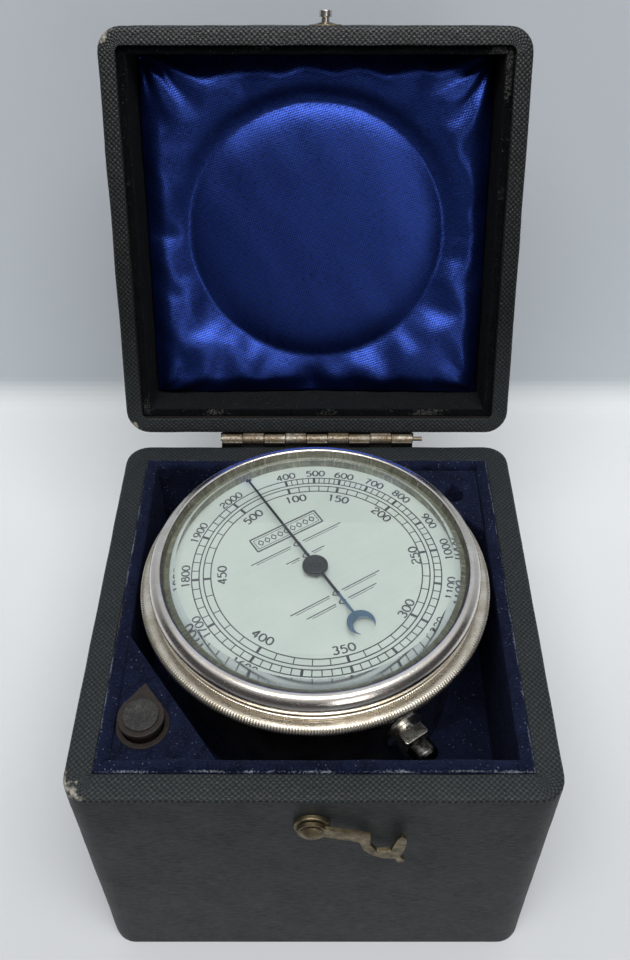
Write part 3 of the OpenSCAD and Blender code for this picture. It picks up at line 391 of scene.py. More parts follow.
def makePileGroup():
    # Velvet: short hairs as very fine noise, brushed patches and small specks of lint
    tree, given, result = newGroup("pile", {"Vector": (0, 0, 0)}, ("Height", "Shade", "Lint"))
    small = remap(tree, cells(tree, given["Vector"], 0.8), 0.07, 0.16, 1.0, 0.0)
    dusty = remap(tree, noise(tree, given["Vector"], 0.3, 2.0), 0.46, 0.6)
    fill(result, {"Height": noise(tree, given["Vector"], 1.5, 4.0, 0.75),
                  "Shade": remap(tree, noise(tree, given["Vector"], 0.12, 5.0, 0.7, 0.8), 0.34, 0.68),
                  "Lint": times(tree, small, dusty)})
    return tree


weaveGroup, ageGroup, pileGroup = makeWeaveGroup(), makeAgeGroup(), makePileGroup()

leatherTones = {"deep": (0.0035, 0.0045, 0.005), "grey": (0.030, 0.036, 0.036), "lidShadedGrey": (0.016, 0.019, 0.019),
                "paintedGlint": (0.42, 0.42, 0.40), "worn": (0.31, 0.29, 0.24),
                "caseBelow": 110, "lidAbove": 150, "lidTop": 238}  # heights in mm


def makeLeathercloth(name, warp, weft, hollow, grey, paintedGlints, depth, grain, gloss):
    # Woven threads mixed with a linen grain: dark hollows, grey ridges, pale painted glints on the thread crossings and
    # bare worn spots
    material, tree, shader = newMaterial(name, {})
    place = surfacePlace(tree)
    weave = useGroup(tree, weaveGroup, {"Vector": place, "Warp": warp, "Weft": weft, "Unevenness": 0.35})
    linen = remap(tree, noise(tree, mapped(tree, place, (0.3, 2.6, 1.0)), 1.0, 4.0, 0.7, 0.6), 0.15, 0.85)
    height = plus(tree, times(tree, weave["Height"], 1 - grain), times(tree, linen, grain))
    age = useGroup(tree, ageGroup, {"Vector": millimetres(tree), "Size": 14.0, "Wear": wearValue(tree)})
    upwards = partOf(tree, millimetres(tree), 2)
    # Painted shade: the same cloth is painted darker on the lid than on the case, in its hollows and on its ridges
    shadedOnLid = remap(tree, upwards, leatherTones["caseBelow"], leatherTones["lidAbove"])
    deep = tint(tree, shadedOnLid, hollow, leatherTones["deep"])
    pale = tint(tree, shadedOnLid, leatherTones["grey"], leatherTones["lidShadedGrey"])
    base = tint(tree, times(tree, age["Stain"], grey), deep, pale)
    ridge = tint(tree, times(tree, remap(tree, height, 0.25, 0.95), grey), base, pale)
    # Painted glints: pale specks on the raised thread crossings
    withPaintedGlints = tint(tree, times(tree, weave["PaintedGlint"], paintedGlints), ridge, leatherTones["paintedGlint"])
    # Hands have polished the lid, most of all its top
    polish = remap(tree, upwards, leatherTones["lidAbove"], leatherTones["lidTop"], 1.0, 2.4)
    fill(shader, {"Base Color": tint(tree, age["Rub"], withPaintedGlints, leatherTones["worn"]),
                  "Roughness": remap(tree, height, 0.2, 0.9, 0.62, gloss),
                  "Specular IOR Level": times(tree, remap(tree, height, 0.3, 0.8, 0.04, 0.4), polish),
                  "Normal": bump(tree, height, depth, 1.0)})
    return material


def makeVelvet(name, deep, lit, dust, lint, sheen):
    # Brushed patches between two tones, dusty hair ends, lint, and bare threads where the wear value is high
    material, tree, shader = newMaterial(name, {"Roughness": 0.95, "Sheen Weight": 0.08, "Sheen Roughness": 0.35,
                                                "Sheen Tint": sheen, "Specular IOR Level": 0.05})
    pile = useGroup(tree, pileGroup, {"Vector": millimetres(tree)})
    base = tint(tree, pile["Shade"], deep, lit)
    nap = tint(tree, times(tree, remap(tree, pile["Height"], 0.52, 0.66), 0.8), base, dust)
    frayed = remap(tree, plus(tree, wearValue(tree), times(tree, pile["Height"], 1.2)), 1.02, 1.3)
    fill(shader, {"Base Color": tint(tree, frayed, tint(tree, pile["Lint"], nap, lint), lint),
                  "Normal": bump(tree, pile["Height"], 1.3, 0.9)})
    return material


def makeMetal(name, clean, stained, roughness, stainSize, wearRough, pitting):
    # Clean metal with duller stains, fine scratches and shallow pits
    material, tree, shader = newMaterial(name, {"Metallic": 1.0})
    age = useGroup(tree, ageGroup, {"Vector": millimetres(tree), "Size": stainSize, "Wear": 0.0})
    dull = remap(tree, age["Stain"], 0, 1, roughness, roughness + wearRough)
    height = plus(tree, times(tree, age["Scratch"], -0.4), noise(tree, millimetres(tree), 1.6, 3.0))
    fill(shader, {"Base Color": tint(tree, age["Stain"], clean, stained),
                  "Roughness": plus(tree, dull, times(tree, age["Scratch"], 0.08)),
                  "Normal": bump(tree, height, pitting, 0.6)})
    return material


def makeWood(name, dark, light):
    # Long streaks of noise between two browns
    material, tree, shader = newMaterial(name, {"Roughness": 0.6})
    rings = noise(tree, millimetres(tree, stretch=(0.04, 0.6, 0.6)), 0.5, 4.0, 0.6, 0.8)
    fill(shader, {"Base Color": tint(tree, remap(tree, rings, 0.35, 0.65), dark, light),
                  "Normal": bump(tree, rings, 0.1, 0.5)})
    return material


satinTones = {"dark": (0.0031, 0.0092, 0.066), "light": (0.0050, 0.014, 0.098), "thread": (0.032, 0.068, 0.33),
              "pressed": (0.0007, 0.0026, 0.026)}


def makeSatin():
    # Royal blue satin: twill lines run slantwise, colour comes from the reflection
    material, tree, shader = newMaterial("satin", {"Metallic": 0.85, "Specular IOR Level": 0.15})
    place = surfacePlace(tree)
    weave = useGroup(tree, weaveGroup, {"Vector": place, "Warp": (0.78, 0.78, 0), "Weft": (-0.42, 0.38, 0),
                                        "Unevenness": 0.15})
    thread = noise(tree, mapped(tree, place, (0.5, 4.0, 1.0), (0, 0, -0.785)), 1.0, 3.0)
    raised = plus(tree, weave["Height"], thread)
    base = tint(tree, remap(tree, noise(tree, place, 0.05, 3.0), 0.35, 0.65), satinTones["dark"], satinTones["light"])
    lined = tint(tree, remap(tree, raised, 0.7, 1.35), base, satinTones["thread"])
    # Painted shade: the satin darkens towards the painted shade colour where the wear-and-shade value is high
    fill(shader, {"Base Color": tint(tree, times(tree, wearValue(tree), 0.85), lined, satinTones["pressed"]),
                  "Roughness": remap(tree, thread, 0.3, 0.7, 0.24, 0.34), "Normal": bump(tree, raised, 0.07, 0.8)})
    return material


dialPlace = {"turn": 32.4, "face": 115.5, "shift": 0.45}
dialTones = {"plain": (0.345, 0.370, 0.354), "cloud": (0.382, 0.405, 0.380), "brushed": (0.50, 0.52, 0.495),
             "speck": (0.24, 0.25, 0.22)}


def makeSilvered():
    # Silvered dial: fine brushing along the dial's own level, faint cloudy patches and a few specks
    material, tree, shader = newMaterial("silvered", {"Metallic": 0.35})
    brushed = noise(tree, millimetres(tree, math.radians(-dialPlace["turn"]), (0.06, 5.0, 5.0)), 1.0, 3.0, 0.6)
    cloud = remap(tree, noise(tree, millimetres(tree), 0.06, 4.0), 0.3, 0.7)
    base = tint(tree, cloud, dialTones["plain"], dialTones["cloud"])
    lined = tint(tree, remap(tree, brushed, 0.3, 0.7, 0.0, 0.25), base, dialTones["brushed"])
    speck = remap(tree, cells(tree, millimetres(tree), 0.09), 0.012, 0.022, 0.45, 0.0)
    fill(shader, {"Base Color": tint(tree, speck, lined, dialTones["speck"]),
                  "Roughness": remap(tree, brushed, 0.2, 0.8, 0.36, 0.5), "Normal": bump(tree, brushed, 0.004, 0.5)})
    return material


def makeSpacer():
    # Cream silvering with lighter upright streaks, which are painted reflections, darker where it has tarnished
    material, tree, shader = newMaterial("spacer cream", {"Metallic": 0.5, "Roughness": 0.38})
    reflectionStreak = noise(tree, mapped(tree, surfacePlace(tree), (1.0, 0.12, 1.0)), 0.9, 4.0, 0.7)
    stain = remap(tree, noise(tree, surfacePlace(tree), 0.14, 4.0, 0.65), 0.42, 0.62)
    base = tint(tree, stain, (0.168, 0.165, 0.125), (0.092, 0.088, 0.060))
    # Painted reflection: lighter upright streaks
    fill(shader, {"Base Color": tint(tree, remap(tree, reflectionStreak, 0.5, 0.75), base, (0.34, 0.335, 0.275)),
                  "Normal": bump(tree, reflectionStreak, 0.05, 0.5)})
    return material


def makeGlass():
    # Clear glass with a faint green tint and a slightly rough bevel painted greyer, a painted shade; rays from the
    # lamps pass straight through
    material, tree, shader = newMaterial("glass", {"Transmission Weight": 1.0, "IOR": 1.52})
    radius = vectors(tree, "LENGTH", vectors(tree, "MULTIPLY", millimetres(tree), (1, 1, 0))[0])["Value"]
    bevel = remap(tree, radius, 43.2, 43.5)
    # Painted shade: the bevel is tinted greyer than the flat top
    fill(shader, {"Base Color": tint(tree, bevel, (0.965, 1.0, 0.985), (0.86, 0.90, 0.91)),
                  "Roughness": remap(tree, bevel, 0, 1, 0.0, 0.08)})
    seeThrough(tree, shader, put(tree, "ShaderNodeLightPath").outputs["Is Shadow Ray"], (0.93, 0.95, 0.94))
    return material


def makePaint(name, base, roughness, coat):
    # Dark paint, about twice as light and somewhat duller in its stains
    material, tree, shader = newMaterial(name, {"Coat Weight": coat, "Coat Roughness": 0.12})
    age = useGroup(tree, ageGroup, {"Vector": millimetres(tree), "Size": 9.0, "Wear": 0.0})
    fill(shader, {"Base Color": tint(tree, age["Stain"], base, [c * 2.2 + 0.002 for c in base]),
                  "Roughness": remap(tree, age["Stain"], 0, 1, roughness, roughness + 0.15),
                  "Normal": bump(tree, noise(tree, millimetres(tree), 0.9, 3.0), 0.015, 0.5)})
    return material


def makePointerBlue():
    # Blued steel: slate on the arm, a brighter blue on the crescent behind the boss
    material, tree, shader = newMaterial("pointer blue", {"Metallic": 0.8, "Roughness": 0.32})
    along = partOf(tree, millimetres(tree, math.radians(-dialPlace["turn"])), 1)
    tone = tint(tree, remap(tree, along, -12.5, -14.5), (0.016, 0.019, 0.026), (0.075, 0.135, 0.215))
    fill(shader, {"Base Color": tone})
    return material


hingeDarkBand = {"from": 1.9, "to": 2.4, "fades": 7.5, "full": 4.0, "tone": (0.006, 0.006, 0.006)}


def makeRust(name, bright, dark, rust, metallic, roughness, stainSize=4.0, darkBesideKnuckles=False):
    # Bare metal with dark stains and grains of rust; on the hinge, a dark band beside the knuckles
    material, tree, shader = newMaterial(name, {"Metallic": metallic})
    age = useGroup(tree, ageGroup, {"Vector": millimetres(tree), "Size": stainSize, "Wear": 0.0})
    grain = noise(tree, millimetres(tree), 1.7, 4.0, 0.7)
    tone = tint(tree, remap(tree, grain, 0.45, 0.62), tint(tree, age["Stain"], bright, dark), rust)
    if darkBesideKnuckles:
        fromPin = vectors(tree, "SUBTRACT", millimetres(tree), (0, lidPlace["pinY"], lidPlace["pinZ"]))[0]
        away = vectors(tree, "LENGTH", vectors(tree, "MULTIPLY", fromPin, (0, 1, 1))[0])["Value"]
        darkBand = times(tree, remap(tree, away, hingeDarkBand["from"], hingeDarkBand["to"]),
                     remap(tree, away, hingeDarkBand["fades"], hingeDarkBand["full"]))
        tone = tint(tree, darkBand, tone, hingeDarkBand["tone"])
    fill(shader, {"Base Color": tone, "Roughness": remap(tree, grain, 0.4, 0.65, roughness, roughness + 0.3),
                  "Normal": bump(tree, grain, 0.16, 0.8)})
    return material


# Warp, weft, hollow colour, share of grey, share of painted glints, relief in mm, share of linen grain, roughness of
# the ridges
rimCloth = makeLeathercloth("leathercloth rim", (0.58, 0, 0), (0, 0.6, 0), (0.0135, 0.0165, 0.0175), 0.2, 0.1,
                            0.36, 0.4, 0.24)
wallCloth = makeLeathercloth("leathercloth walls", (0.02, 1.4, 0), (1.1, 0.02, 0), leatherTones["deep"], 0.6, 0.08,
                             0.13, 0.6, 0.42)
# Colours: deep, lit, dust, lint, sheen
velvet = makeVelvet("velvet", (0.0014, 0.0023, 0.0085), (0.0085, 0.0125, 0.038), (0.020, 0.026, 0.055),
                    (0.26, 0.29, 0.34), (0.3, 0.36, 0.7))
liningCloth = makeVelvet("lid lining cloth", (0.0012, 0.0015, 0.0022), (0.0045, 0.0052, 0.006), (0.009, 0.0095, 0.0095),
                         (0.12, 0.12, 0.11), (0.35, 0.36, 0.38))
# Clean and stained colour, roughness, stain size in mm, what stains add to the roughness, pits in mm
metalValues = {
    "nickel": ((0.84, 0.80, 0.75), (0.68, 0.62, 0.55), 0.12, 9.0, 0.12, 0.02),
    "worn nickel": ((0.80, 0.745, 0.64), (0.50, 0.44, 0.345), 0.2, 5.0, 0.16, 0.02),
    "bright nickel": ((0.86, 0.84, 0.79), (0.58, 0.54, 0.47), 0.14, 4.0, 0.2, 0.02),
    "tarnished brass": ((0.28, 0.23, 0.14), (0.095, 0.075, 0.046), 0.34, 2.6, 0.2, 0.06),
    "brass": ((0.72, 0.53, 0.24), (0.52, 0.37, 0.17), 0.28, 7.0, 0.18, 0.02),
    "steel": ((0.56, 0.57, 0.58), (0.40, 0.40, 0.40), 0.28, 7.0, 0.18, 0.02),
    "dark steel": ((0.050, 0.052, 0.056), (0.022, 0.022, 0.024), 0.30, 5.0, 0.18, 0.02),
    "chipped steel": ((0.010, 0.010, 0.011), (0.16, 0.155, 0.145), 0.2, 2.2, 0.18, 0.02),
    "blued steel": ((0.030, 0.055, 0.120), (0.018, 0.030, 0.065), 0.30, 6.0, 0.18, 0.02),
}
metals = {name: makeMetal(name, *values) for name, values in metalValues.items()}
# Bright, dark and rust colour, share of metal, roughness, stain size in mm
rustyHinge = makeRust("rusty hinge", (0.46, 0.43, 0.37), (0.21, 0.155, 0.085), (0.12, 0.075, 0.042), 0.6, 0.36, 8.0,
                      darkBesideKnuckles=True)
rustySteel = makeRust("rusty steel", (0.014, 0.012, 0.010), (0.006, 0.005, 0.0045), (0.030, 0.017, 0.011), 0.3, 0.45)
darkFace = makeRust("dark face", (0.038, 0.036, 0.034), (0.009, 0.008, 0.007), (0.014, 0.012, 0.011), 0.1, 0.5, 1.3)
# Colour, roughness, share of clear coat
japanned = makePaint("japanned", (0.0045, 0.0045, 0.0055), 0.22, 0.6)
underSheet = makePaint("under sheet", (0.02, 0.022, 0.024), 0.8, 0.0)
ink = makePaint("engraving wax", (0.012, 0.014, 0.018), 0.55, 0.0)
wood = makeWood("wood", (0.28, 0.17, 0.08), (0.42, 0.28, 0.15))
stainedWood = makeWood("stained wood", (0.006, 0.005, 0.004), (0.014, 0.011, 0.008))
satin, silvered, spacerCream, clearGlass = makeSatin(), makeSilvered(), makeSpacer(), makeGlass()
pointerBlue = makePointerBlue()
print("materials made")

# What stays as the solids are gets its finish here
finishes = [
    (wood, "case_carcass shelf_rails"), (stainedWood, "lid_carcass"), (underSheet, "bottom_sheet"),
    (velvet, "rest_shelf"), (rustyHinge, "base_hinge_screws lid_hinge_screws hinge_pin"), (japanned, "drum"),
    (metals["brass"], "movement_plate pillars front_bracket rear_bracket arbor_bridge governor_cage"),
    (metals["brass"], "small_gear large_gear"),
    (metals["steel"], "cage_pins spindle slow_spindle rack_yoke pointer_arbor"), (silvered, "dial"),
    (metals["blued steel"], "governor_springs hair_spring"),
    (metals["nickel"], "flyweight_a flyweight_b sliding_sleeve"),
    (metals["worn nickel"], "milled_flange"), (metals["bright nickel"], "slow_gland slow_gland_nut"),
]
for finish, nodeNames in finishes:
    for nodeName in nodeNames.split():
        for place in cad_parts[nodeName].material_slots:
            place.material = finish

caseSize = {"halfX": 70.0, "halfY": 69.5, "corner": 8.0, "low": 0.6, "top": 103.0, "rim": 8.0, "cover": 0.8,
            "clothRim": 101.6}
caseRub = {"top": 0.42, "foot": 0.4, "corner": 0.28, "frontLeft": 0.42}


def caseWear(grid):
    # High at the top edge, the foot and the upright corners, most at the front left corner of the rim
    x, y, z = grid[..., 0], grid[..., 1], grid[..., 2]
    top = bell(z - caseSize["top"], 1.2) * bell(edgeDistance(x, y, caseSize), 1.4)
    corner = bell(np.hypot(np.abs(x) - 67.2, np.abs(y) - 66.7), 3.0)
    frontLeft = bell(np.hypot(x + 66.5, y + 65), 5.0) * (z > 100)
    return (caseRub["top"] * top + caseRub["foot"] * bell(z - caseSize["low"], 1.6) + caseRub["corner"] * corner
            + caseRub["frontLeft"] * frontLeft)


low, top, rim, cover = (caseSize[key] for key in ("low", "top", "rim", "cover"))
caseProfile = softPath([[0, low], [0, top], [rim, top], [rim, top - cover], [cover, top - cover], [cover, low]],
                       [0.15, 1.5, 0.3, 0.2, 0.2, 0.15], steps=6)
caseCover = wallSurface("case_leathercloth", caseSize, evenPath(caseProfile, 3.0), caseWear, 0.10, 3)
dress(caseCover, "case", "leathercloth", rimCloth, wallCloth, replaces=("case_covering",))
middles = np.array([p.center[2] for p in caseCover.data.polygons])
caseCover.data.polygons.foreach_set("material_index", (middles < caseSize["clothRim"] * mm).astype(np.int32))

liningSize = {"halfX": 62.0, "halfY": 61.5, "corner": 0.3, "thick": 4.3, "top": 104.0, "low": 6.1}


def liningWear(grid):
    # The pile is frayed along the outer edge of the boards' tops
    patch = smoothStep(-0.6, 0.8, waves(grid, 9, 6))
    return (bell(grid[..., 2] - 103.7, 0.8) * bell(edgeDistance(grid[..., 0], grid[..., 1], liningSize), 1.1)
            * (0.42 + 0.24 * patch))


low, top, thick = (liningSize[key] for key in ("low", "top", "thick"))
liningProfile = softPath([[0.05, low], [0.05, top], [thick, top], [thick, low]], [0.1, 1.3, 1.6, 0.1], steps=6)
lining = wallSurface("velvet_lining", liningSize, evenPath(liningProfile, 2.5), liningWear, 0.2, 11)
dress(lining, "case", "velvet", velvet, replaces=("case_liners",))
roundedCopy("front_left_block", "case", "velvet", velvet, 0.9, 3, "velvet_block_front_left")
roundedCopy("back_right_block", "case", "velvet", velvet, 0.9, 3, "velvet_block_back_right")
roundedCopy("floor_pad", "case", "velvet", velvet, 0.6, 3, "velvet_floor")
roundedCopy("tip_hole_ring", "case", "rusty_steel", rustySteel, 0.15)
print("case made")

lidSize = {"halfX": 70.2, "halfY": 69.9, "corner": 8.0, "low": 103.2, "top": 133.0, "wall": 5.8, "ledge": 104.0,
           "cover": 0.8}
lidRub = {"rim": 0.36, "corner": 0.25, "left": 0.45, "top": 0.36}


def lidWear(grid):
    # High at the rim, the top edge and the upright corners, most at the left corners of the rim
    x, y, z = grid[..., 0], grid[..., 1] - lidPlace["midY"], grid[..., 2]
    edge = bell(edgeDistance(x, y, lidSize), 1.3)
    corner = bell(np.hypot(np.abs(x) - 67.3, np.abs(y) - 67.0), 3.0)
    left = bell(np.hypot(x + 67.5, np.abs(y) - 67.0), 3.6) * (z < 106)
    return (lidRub["rim"] * bell(z - lidSize["low"], 1.1) * edge + lidRub["corner"] * corner + lidRub["left"] * left
            + lidRub["top"] * bell(z - lidSize["top"], 1.2) * edge)


low, top, wall, ledge, cover = (lidSize[key] for key in ("low", "top", "wall", "ledge", "cover"))
middle = lidSize["halfY"] - 0.02
lidProfile = softPath([[middle, top], [0, top], [0, low], [wall, low], [wall, ledge], [cover, ledge],
                       [cover, top - cover], [middle, top - cover]], [0, 1.8, 1.5, 0.4, 0.15, 0.3, 0.8, 0], 6, False)
lidCover = wallSurface("lid_leathercloth", lidSize, evenPath(lidProfile, 3.0), lidWear, 0.10, 23, True)
dress(lidCover, "lid", "leathercloth", rimCloth, replaces=("lid_covering",))

lidLiningSize = {"halfX": 64.4, "halfY": 64.1, "corner": 0.3, "low": 105.6, "high": 127.1, "thick": 2.8}


def lidLiningWear(grid):
    # Frayed in patches along the boards' edges
    inner = edgeDistance(grid[..., 0], grid[..., 1] - lidPlace["midY"], lidLiningSize)
    patch = smoothStep(0.1, 0.9, waves(grid, 22, 5))
    return bell(grid[..., 2] - 105.7, 0.8) * (0.2 + 0.28 * patch) * smoothStep(-0.2, 0.6, inner)


low, high, thick = (lidLiningSize[key] for key in ("low", "high", "thick"))
lidLiningProfile = softPath([[0.05, high], [0.05, low], [thick, low], [thick, high]], [0.1, 0.7, 1.2, 0.1], steps=6)
lidLining = wallSurface("lid_lining", lidLiningSize, evenPath(lidLiningProfile, 2.5), lidLiningWear, 0.10, 31, True)
dress(lidLining, "lid", "lid_lining", liningCloth, replaces=("lid_liners",))

satinPad = {"halfX": 61.25, "halfY": 60.95, "midY": -0.4, "back": 127.15, "field": 8.6, "disc": 4.5, "groove": 1.7,
            "discR": 46.0, "cells": 126, "extra": 0.014, "frames": 18, "cap": 1.6, "least": 1.2, "soften": 9}
# Height that glass and bezel leave to the pad when the lid is closed, at three radii
satinRoom = {"radius": [49.2, 51.8, 54.0], "height": [4.65, 6.7, 9.2], "least": 1.0}
clothValues = {"quality": 5, "mass": 0.15, "air_damping": 2.0, "tension_stiffness": 15, "compression_stiffness": 15,
               "shear_stiffness": 5, "bending_stiffness": 9.0}


def satinEdges(x, y):
    # Distances to the sides and to the front and back of the pad
    return satinPad["halfX"] - np.abs(x), satinPad["halfY"] - np.abs(y - satinPad["midY"])


def satinHeight(x, y):
    # Padding height above the lid's board: disc, pressed ring, and a field that rolls in at the edges
    radius = np.hypot(x, y)
    edgeX, edgeY = satinEdges(x, y)
    rollX, rollY = smoothStep(-2.5, 7.5, edgeX), smoothStep(-2.5, 7.5, edgeY)
    field = satinPad["field"] * (0.25 + 0.75 * np.minimum(rollX, rollY) * (0.55 + 0.45 * np.maximum(rollX, rollY)))
    within = np.minimum(radius / satinPad["discR"], 1)
    inner = satinPad["groove"] + (satinPad["disc"] - satinPad["groove"]) * (1 - within ** 8)
    outside = np.maximum(radius - satinPad["discR"], 0)
    spread = 1 - np.exp(-(outside / 7.5) ** 1.15)
    low = 0.5 - 0.45 * y / np.maximum(radius, 1)
    diagonal = np.abs(2 * x * y) / np.maximum(radius, 1) ** 2
    return inner + (field - satinPad["groove"]) * spread * (low + (1 - low) * diagonal)


def satinFolds(x, y):
    # Folds that run from each corner towards the ring, and gathers along the edges: cosines of angle and distance
    total = np.zeros_like(x)
    radius = np.hypot(x, y)
    away = smoothStep(46, 56, radius)
    for number, (sideX, sideY) in enumerate([(1, 1), (-1, 1), (-1, -1), (1, -1)]):
        fromX = sideX * satinPad["halfX"] - x
        fromY = sideY * satinPad["halfY"] + satinPad["midY"] - y
        distance = np.hypot(fromX, fromY)
        angle = np.arctan2(np.abs(fromY), np.abs(fromX))
        bend = 0.35 * np.sin(distance / 9.0 + number)
        ridge = np.cos((angle + bend * 0.4) * (9.0 + number) + number * 1.7)
        total += (1.3 if sideY < 0 else 0.7) * ridge * np.exp(-((distance - 11) / 13.0) ** 2) * away
    edge = np.minimum(*satinEdges(x, y))
    along = np.where(np.abs(x) > np.abs(y), y, x)
    gathers = np.sin(along / 1.55 + 1.3 * np.sin(along / 8.0)) + 0.6 * np.sin(along / 3.9 + 2.0)
    total += 0.07 * gathers * np.exp(-edge / 4.0) * away
    total += 0.4 * waves(np.stack([x, y], -1), 22, 41) * (0.2 + 0.8 * away)
    return total


def settleSatin(front):
    # The cloth is cut a little too large; held along its edges and in the groove, it buckles into soft folds.
    # It settles at ten times its size, without gravity, because the padding carries it.
    n = satinPad["cells"]
    mesh = bpy.data.meshes.new("satin cloth")
    mesh.from_pydata((front.reshape(-1, 3) * 0.01).tolist(), [], gridFaces(n, n).tolist())
    mesh.update()
    cloth = addObject("satin cloth", mesh)
    x, y = front[..., 0].ravel(), front[..., 1].ravel()
    edge, radius = np.minimum(*satinEdges(x, y)), np.hypot(x, y)
    hold = np.maximum(bell(edge, 1.0), bell(radius - satinPad["discR"], 1.2))
    hold = np.round(np.where(radius < satinPad["discR"], 1, np.maximum(hold, 0.1)), 1)
    group = cloth.vertex_groups.new(name="held")
    for level in np.unique(hold):
        group.add(np.nonzero(hold == level)[0].tolist(), float(level), "REPLACE")
    modifier = cloth.modifiers.new("settling", "CLOTH")
    for key, value in clothValues.items():
        setattr(modifier.settings, key, value)
    modifier.settings.shrink_min = -satinPad["extra"]
    modifier.settings.vertex_group_mass = "held"
    modifier.settings.effector_weights.gravity = 0
    modifier.collision_settings.use_collision = False
    modifier.point_cache.frame_start, modifier.point_cache.frame_end = 1, satinPad["frames"]
    for number in range(1, satinPad["frames"] + 1):
        bpy.context.scene.frame_set(number)
    settled = cloth.evaluated_get(bpy.context.evaluated_depsgraph_get()).data
    points = np.empty(len(settled.vertices) * 3, np.float32)
    settled.vertices.foreach_get("co", points)
    bpy.context.scene.frame_set(1)
    bpy.data.objects.remove(cloth)
    bpy.data.meshes.remove(mesh)
    moved = np.clip(points.reshape(front.shape).astype(float) * 100 - front, -satinPad["cap"], satinPad["cap"])
    for number in range(satinPad["soften"]):
        moved[1:-1, 1:-1] = (moved[1:-1, 1:-1] * 2 + moved[:-2, 1:-1] + moved[2:, 1:-1] + moved[1:-1, :-2]
                             + moved[1:-1, 2:]) / 6
    return front + moved


def satinPressed(x, y):
    # Painted shade: darker in a ring above the disc, below the disc's lower edge, along the hinge side and at the two
    # side edges
    radius = np.maximum(np.hypot(x, y), 1)
    upward = -y / radius
    pressed = bell(radius - 50.2, 3.2) * np.clip(upward + 0.1, 0, 1) ** 1.3
    pressed += 0.55 * bell(radius - 42.0, 4.5) * np.clip(-upward, 0, 1)
    pressed += 0.8 * smoothStep(48, 56, y) * (1 - smoothStep(26, 46, np.abs(x)))
    pressed += 0.5 * smoothStep(54, 60, np.abs(x))
    return np.clip(pressed, 0, 1)


def makeSatinPad():
    # A height above the lid's board for each point of the pad, closed by upright sides and a flat back
    n, back = satinPad["cells"], satinPad["back"]
    lineX = np.linspace(-satinPad["halfX"], satinPad["halfX"], n)
    lineY = np.linspace(-satinPad["halfY"], satinPad["halfY"], n) + satinPad["midY"]
    x, y = np.meshgrid(lineX, lineY, indexing="ij")
    height = np.maximum(satinHeight(x, y) + satinFolds(x, y), satinPad["least"])
    front = np.stack([x, y, back - height], axis=-1)
    front = settleSatin(front)
    print("satin settled", round(float(front[..., 2].min()), 2), round(float(front[..., 2].max()), 2))
    front[..., 0] = np.clip(front[..., 0], -satinPad["halfX"], satinPad["halfX"])
    room = np.interp(np.hypot(front[..., 0], front[..., 1]), satinRoom["radius"], satinRoom["height"])
    front[..., 2] = np.clip(front[..., 2], back - room, back - satinRoom["least"])
    wrapped = np.pad(front, ((1, 1), (1, 1), (0, 0)), mode="edge")
    wrapped[[0, -1], :, 2] = back
    wrapped[:, [0, -1], 2] = back
    rear = wrapped.copy()
    rear[..., 2] = back
    both = np.concatenate([wrapped.reshape(-1, 3), rear.reshape(-1, 3)])
    faces = np.vstack([gridFaces(n + 2, n + 2), gridFaces(n + 2, n + 2, (n + 2) ** 2)])
    return newPiece("satin_pad_cloth", openLid(both) * mm, faces, both[:, :2], satinPressed(both[:, 0], both[:, 1]))


satinCloth = makeSatinPad()
dress(satinCloth, "lid", "satin", satin, replaces=("satin_pad",))
print("lid made")

# Painted shade: a dark strip of wall leathercloth behind the hinge, so that no gap shows between box and lid
hingeStrip = {"half": 36.0, "y": 74.4, "thick": 0.35, "low": 98.0, "top": 104.9}
low, top, near, far = hingeStrip["low"], hingeStrip["top"], hingeStrip["y"], hingeStrip["y"] + hingeStrip["thick"]
stripLine = softPath([[near, low], [far, low], [far, top], [near, top]], 0.1, steps=3)
stripSides = np.linspace(-hingeStrip["half"], hingeStrip["half"], 25)
stripGrid = np.empty((27, len(stripLine), 3))
stripGrid[1:-1, :, 0], stripGrid[1:-1, :, 1:] = stripSides[:, None], stripLine[None]
stripGrid[[0, -1], :, 1:] = stripLine.mean(0)
stripGrid[[0, -1], :, 0] = stripSides[[0, -1], None]
stripPiece = gridPiece("hinge_shade_strip", stripGrid, stripGrid[..., [0, 2]], np.zeros(stripGrid.shape[:2]), 40)
dress(stripPiece, "case", "leathercloth", wallCloth)

# Node, body, slot, material, width of the broken edge in mm, segments
fittings = [
    ("base_hinge_leaf", "case", "rusty_steel", rustyHinge, 0.22, 2),
    ("lid_hinge_leaf", "lid", "rusty_steel", rustyHinge, 0.22, 2),
    ("hook_washer", "case", "tarnished_brass", metals["tarnished brass"], 0.4, 3),
    ("hook_rivet", "case", "tarnished_brass", metals["tarnished brass"], 0.25, 3),
    ("hook", "hook", "tarnished_brass", metals["tarnished brass"], 0.42, 4),
    ("catch_plate", "lid", "brass", metals["tarnished brass"], 0.2, 2),
    ("catch_peg", "lid", "nickel", metals["bright nickel"], 0.25, 3),
    ("tip_body", "tip", "rusty_steel", rustySteel, 0.3, 3),
    ("tip_face", "tip", "dark_steel", darkFace, 0.2, 3),
    ("gland", "instrument", "nickel", metals["bright nickel"], 0.2, 3),
    ("gland_nut", "instrument", "nickel", metals["bright nickel"], 0.55, 3),
    ("drive_socket", "spindle", "dark_steel", metals["chipped steel"], 0.25, 3),
    ("pointer_boss", "pointer", "dark_steel", metals["dark steel"], 0.18, 3),
]
for fitting in fittings:
    roundedCopy(*fitting)
print("fittings made")

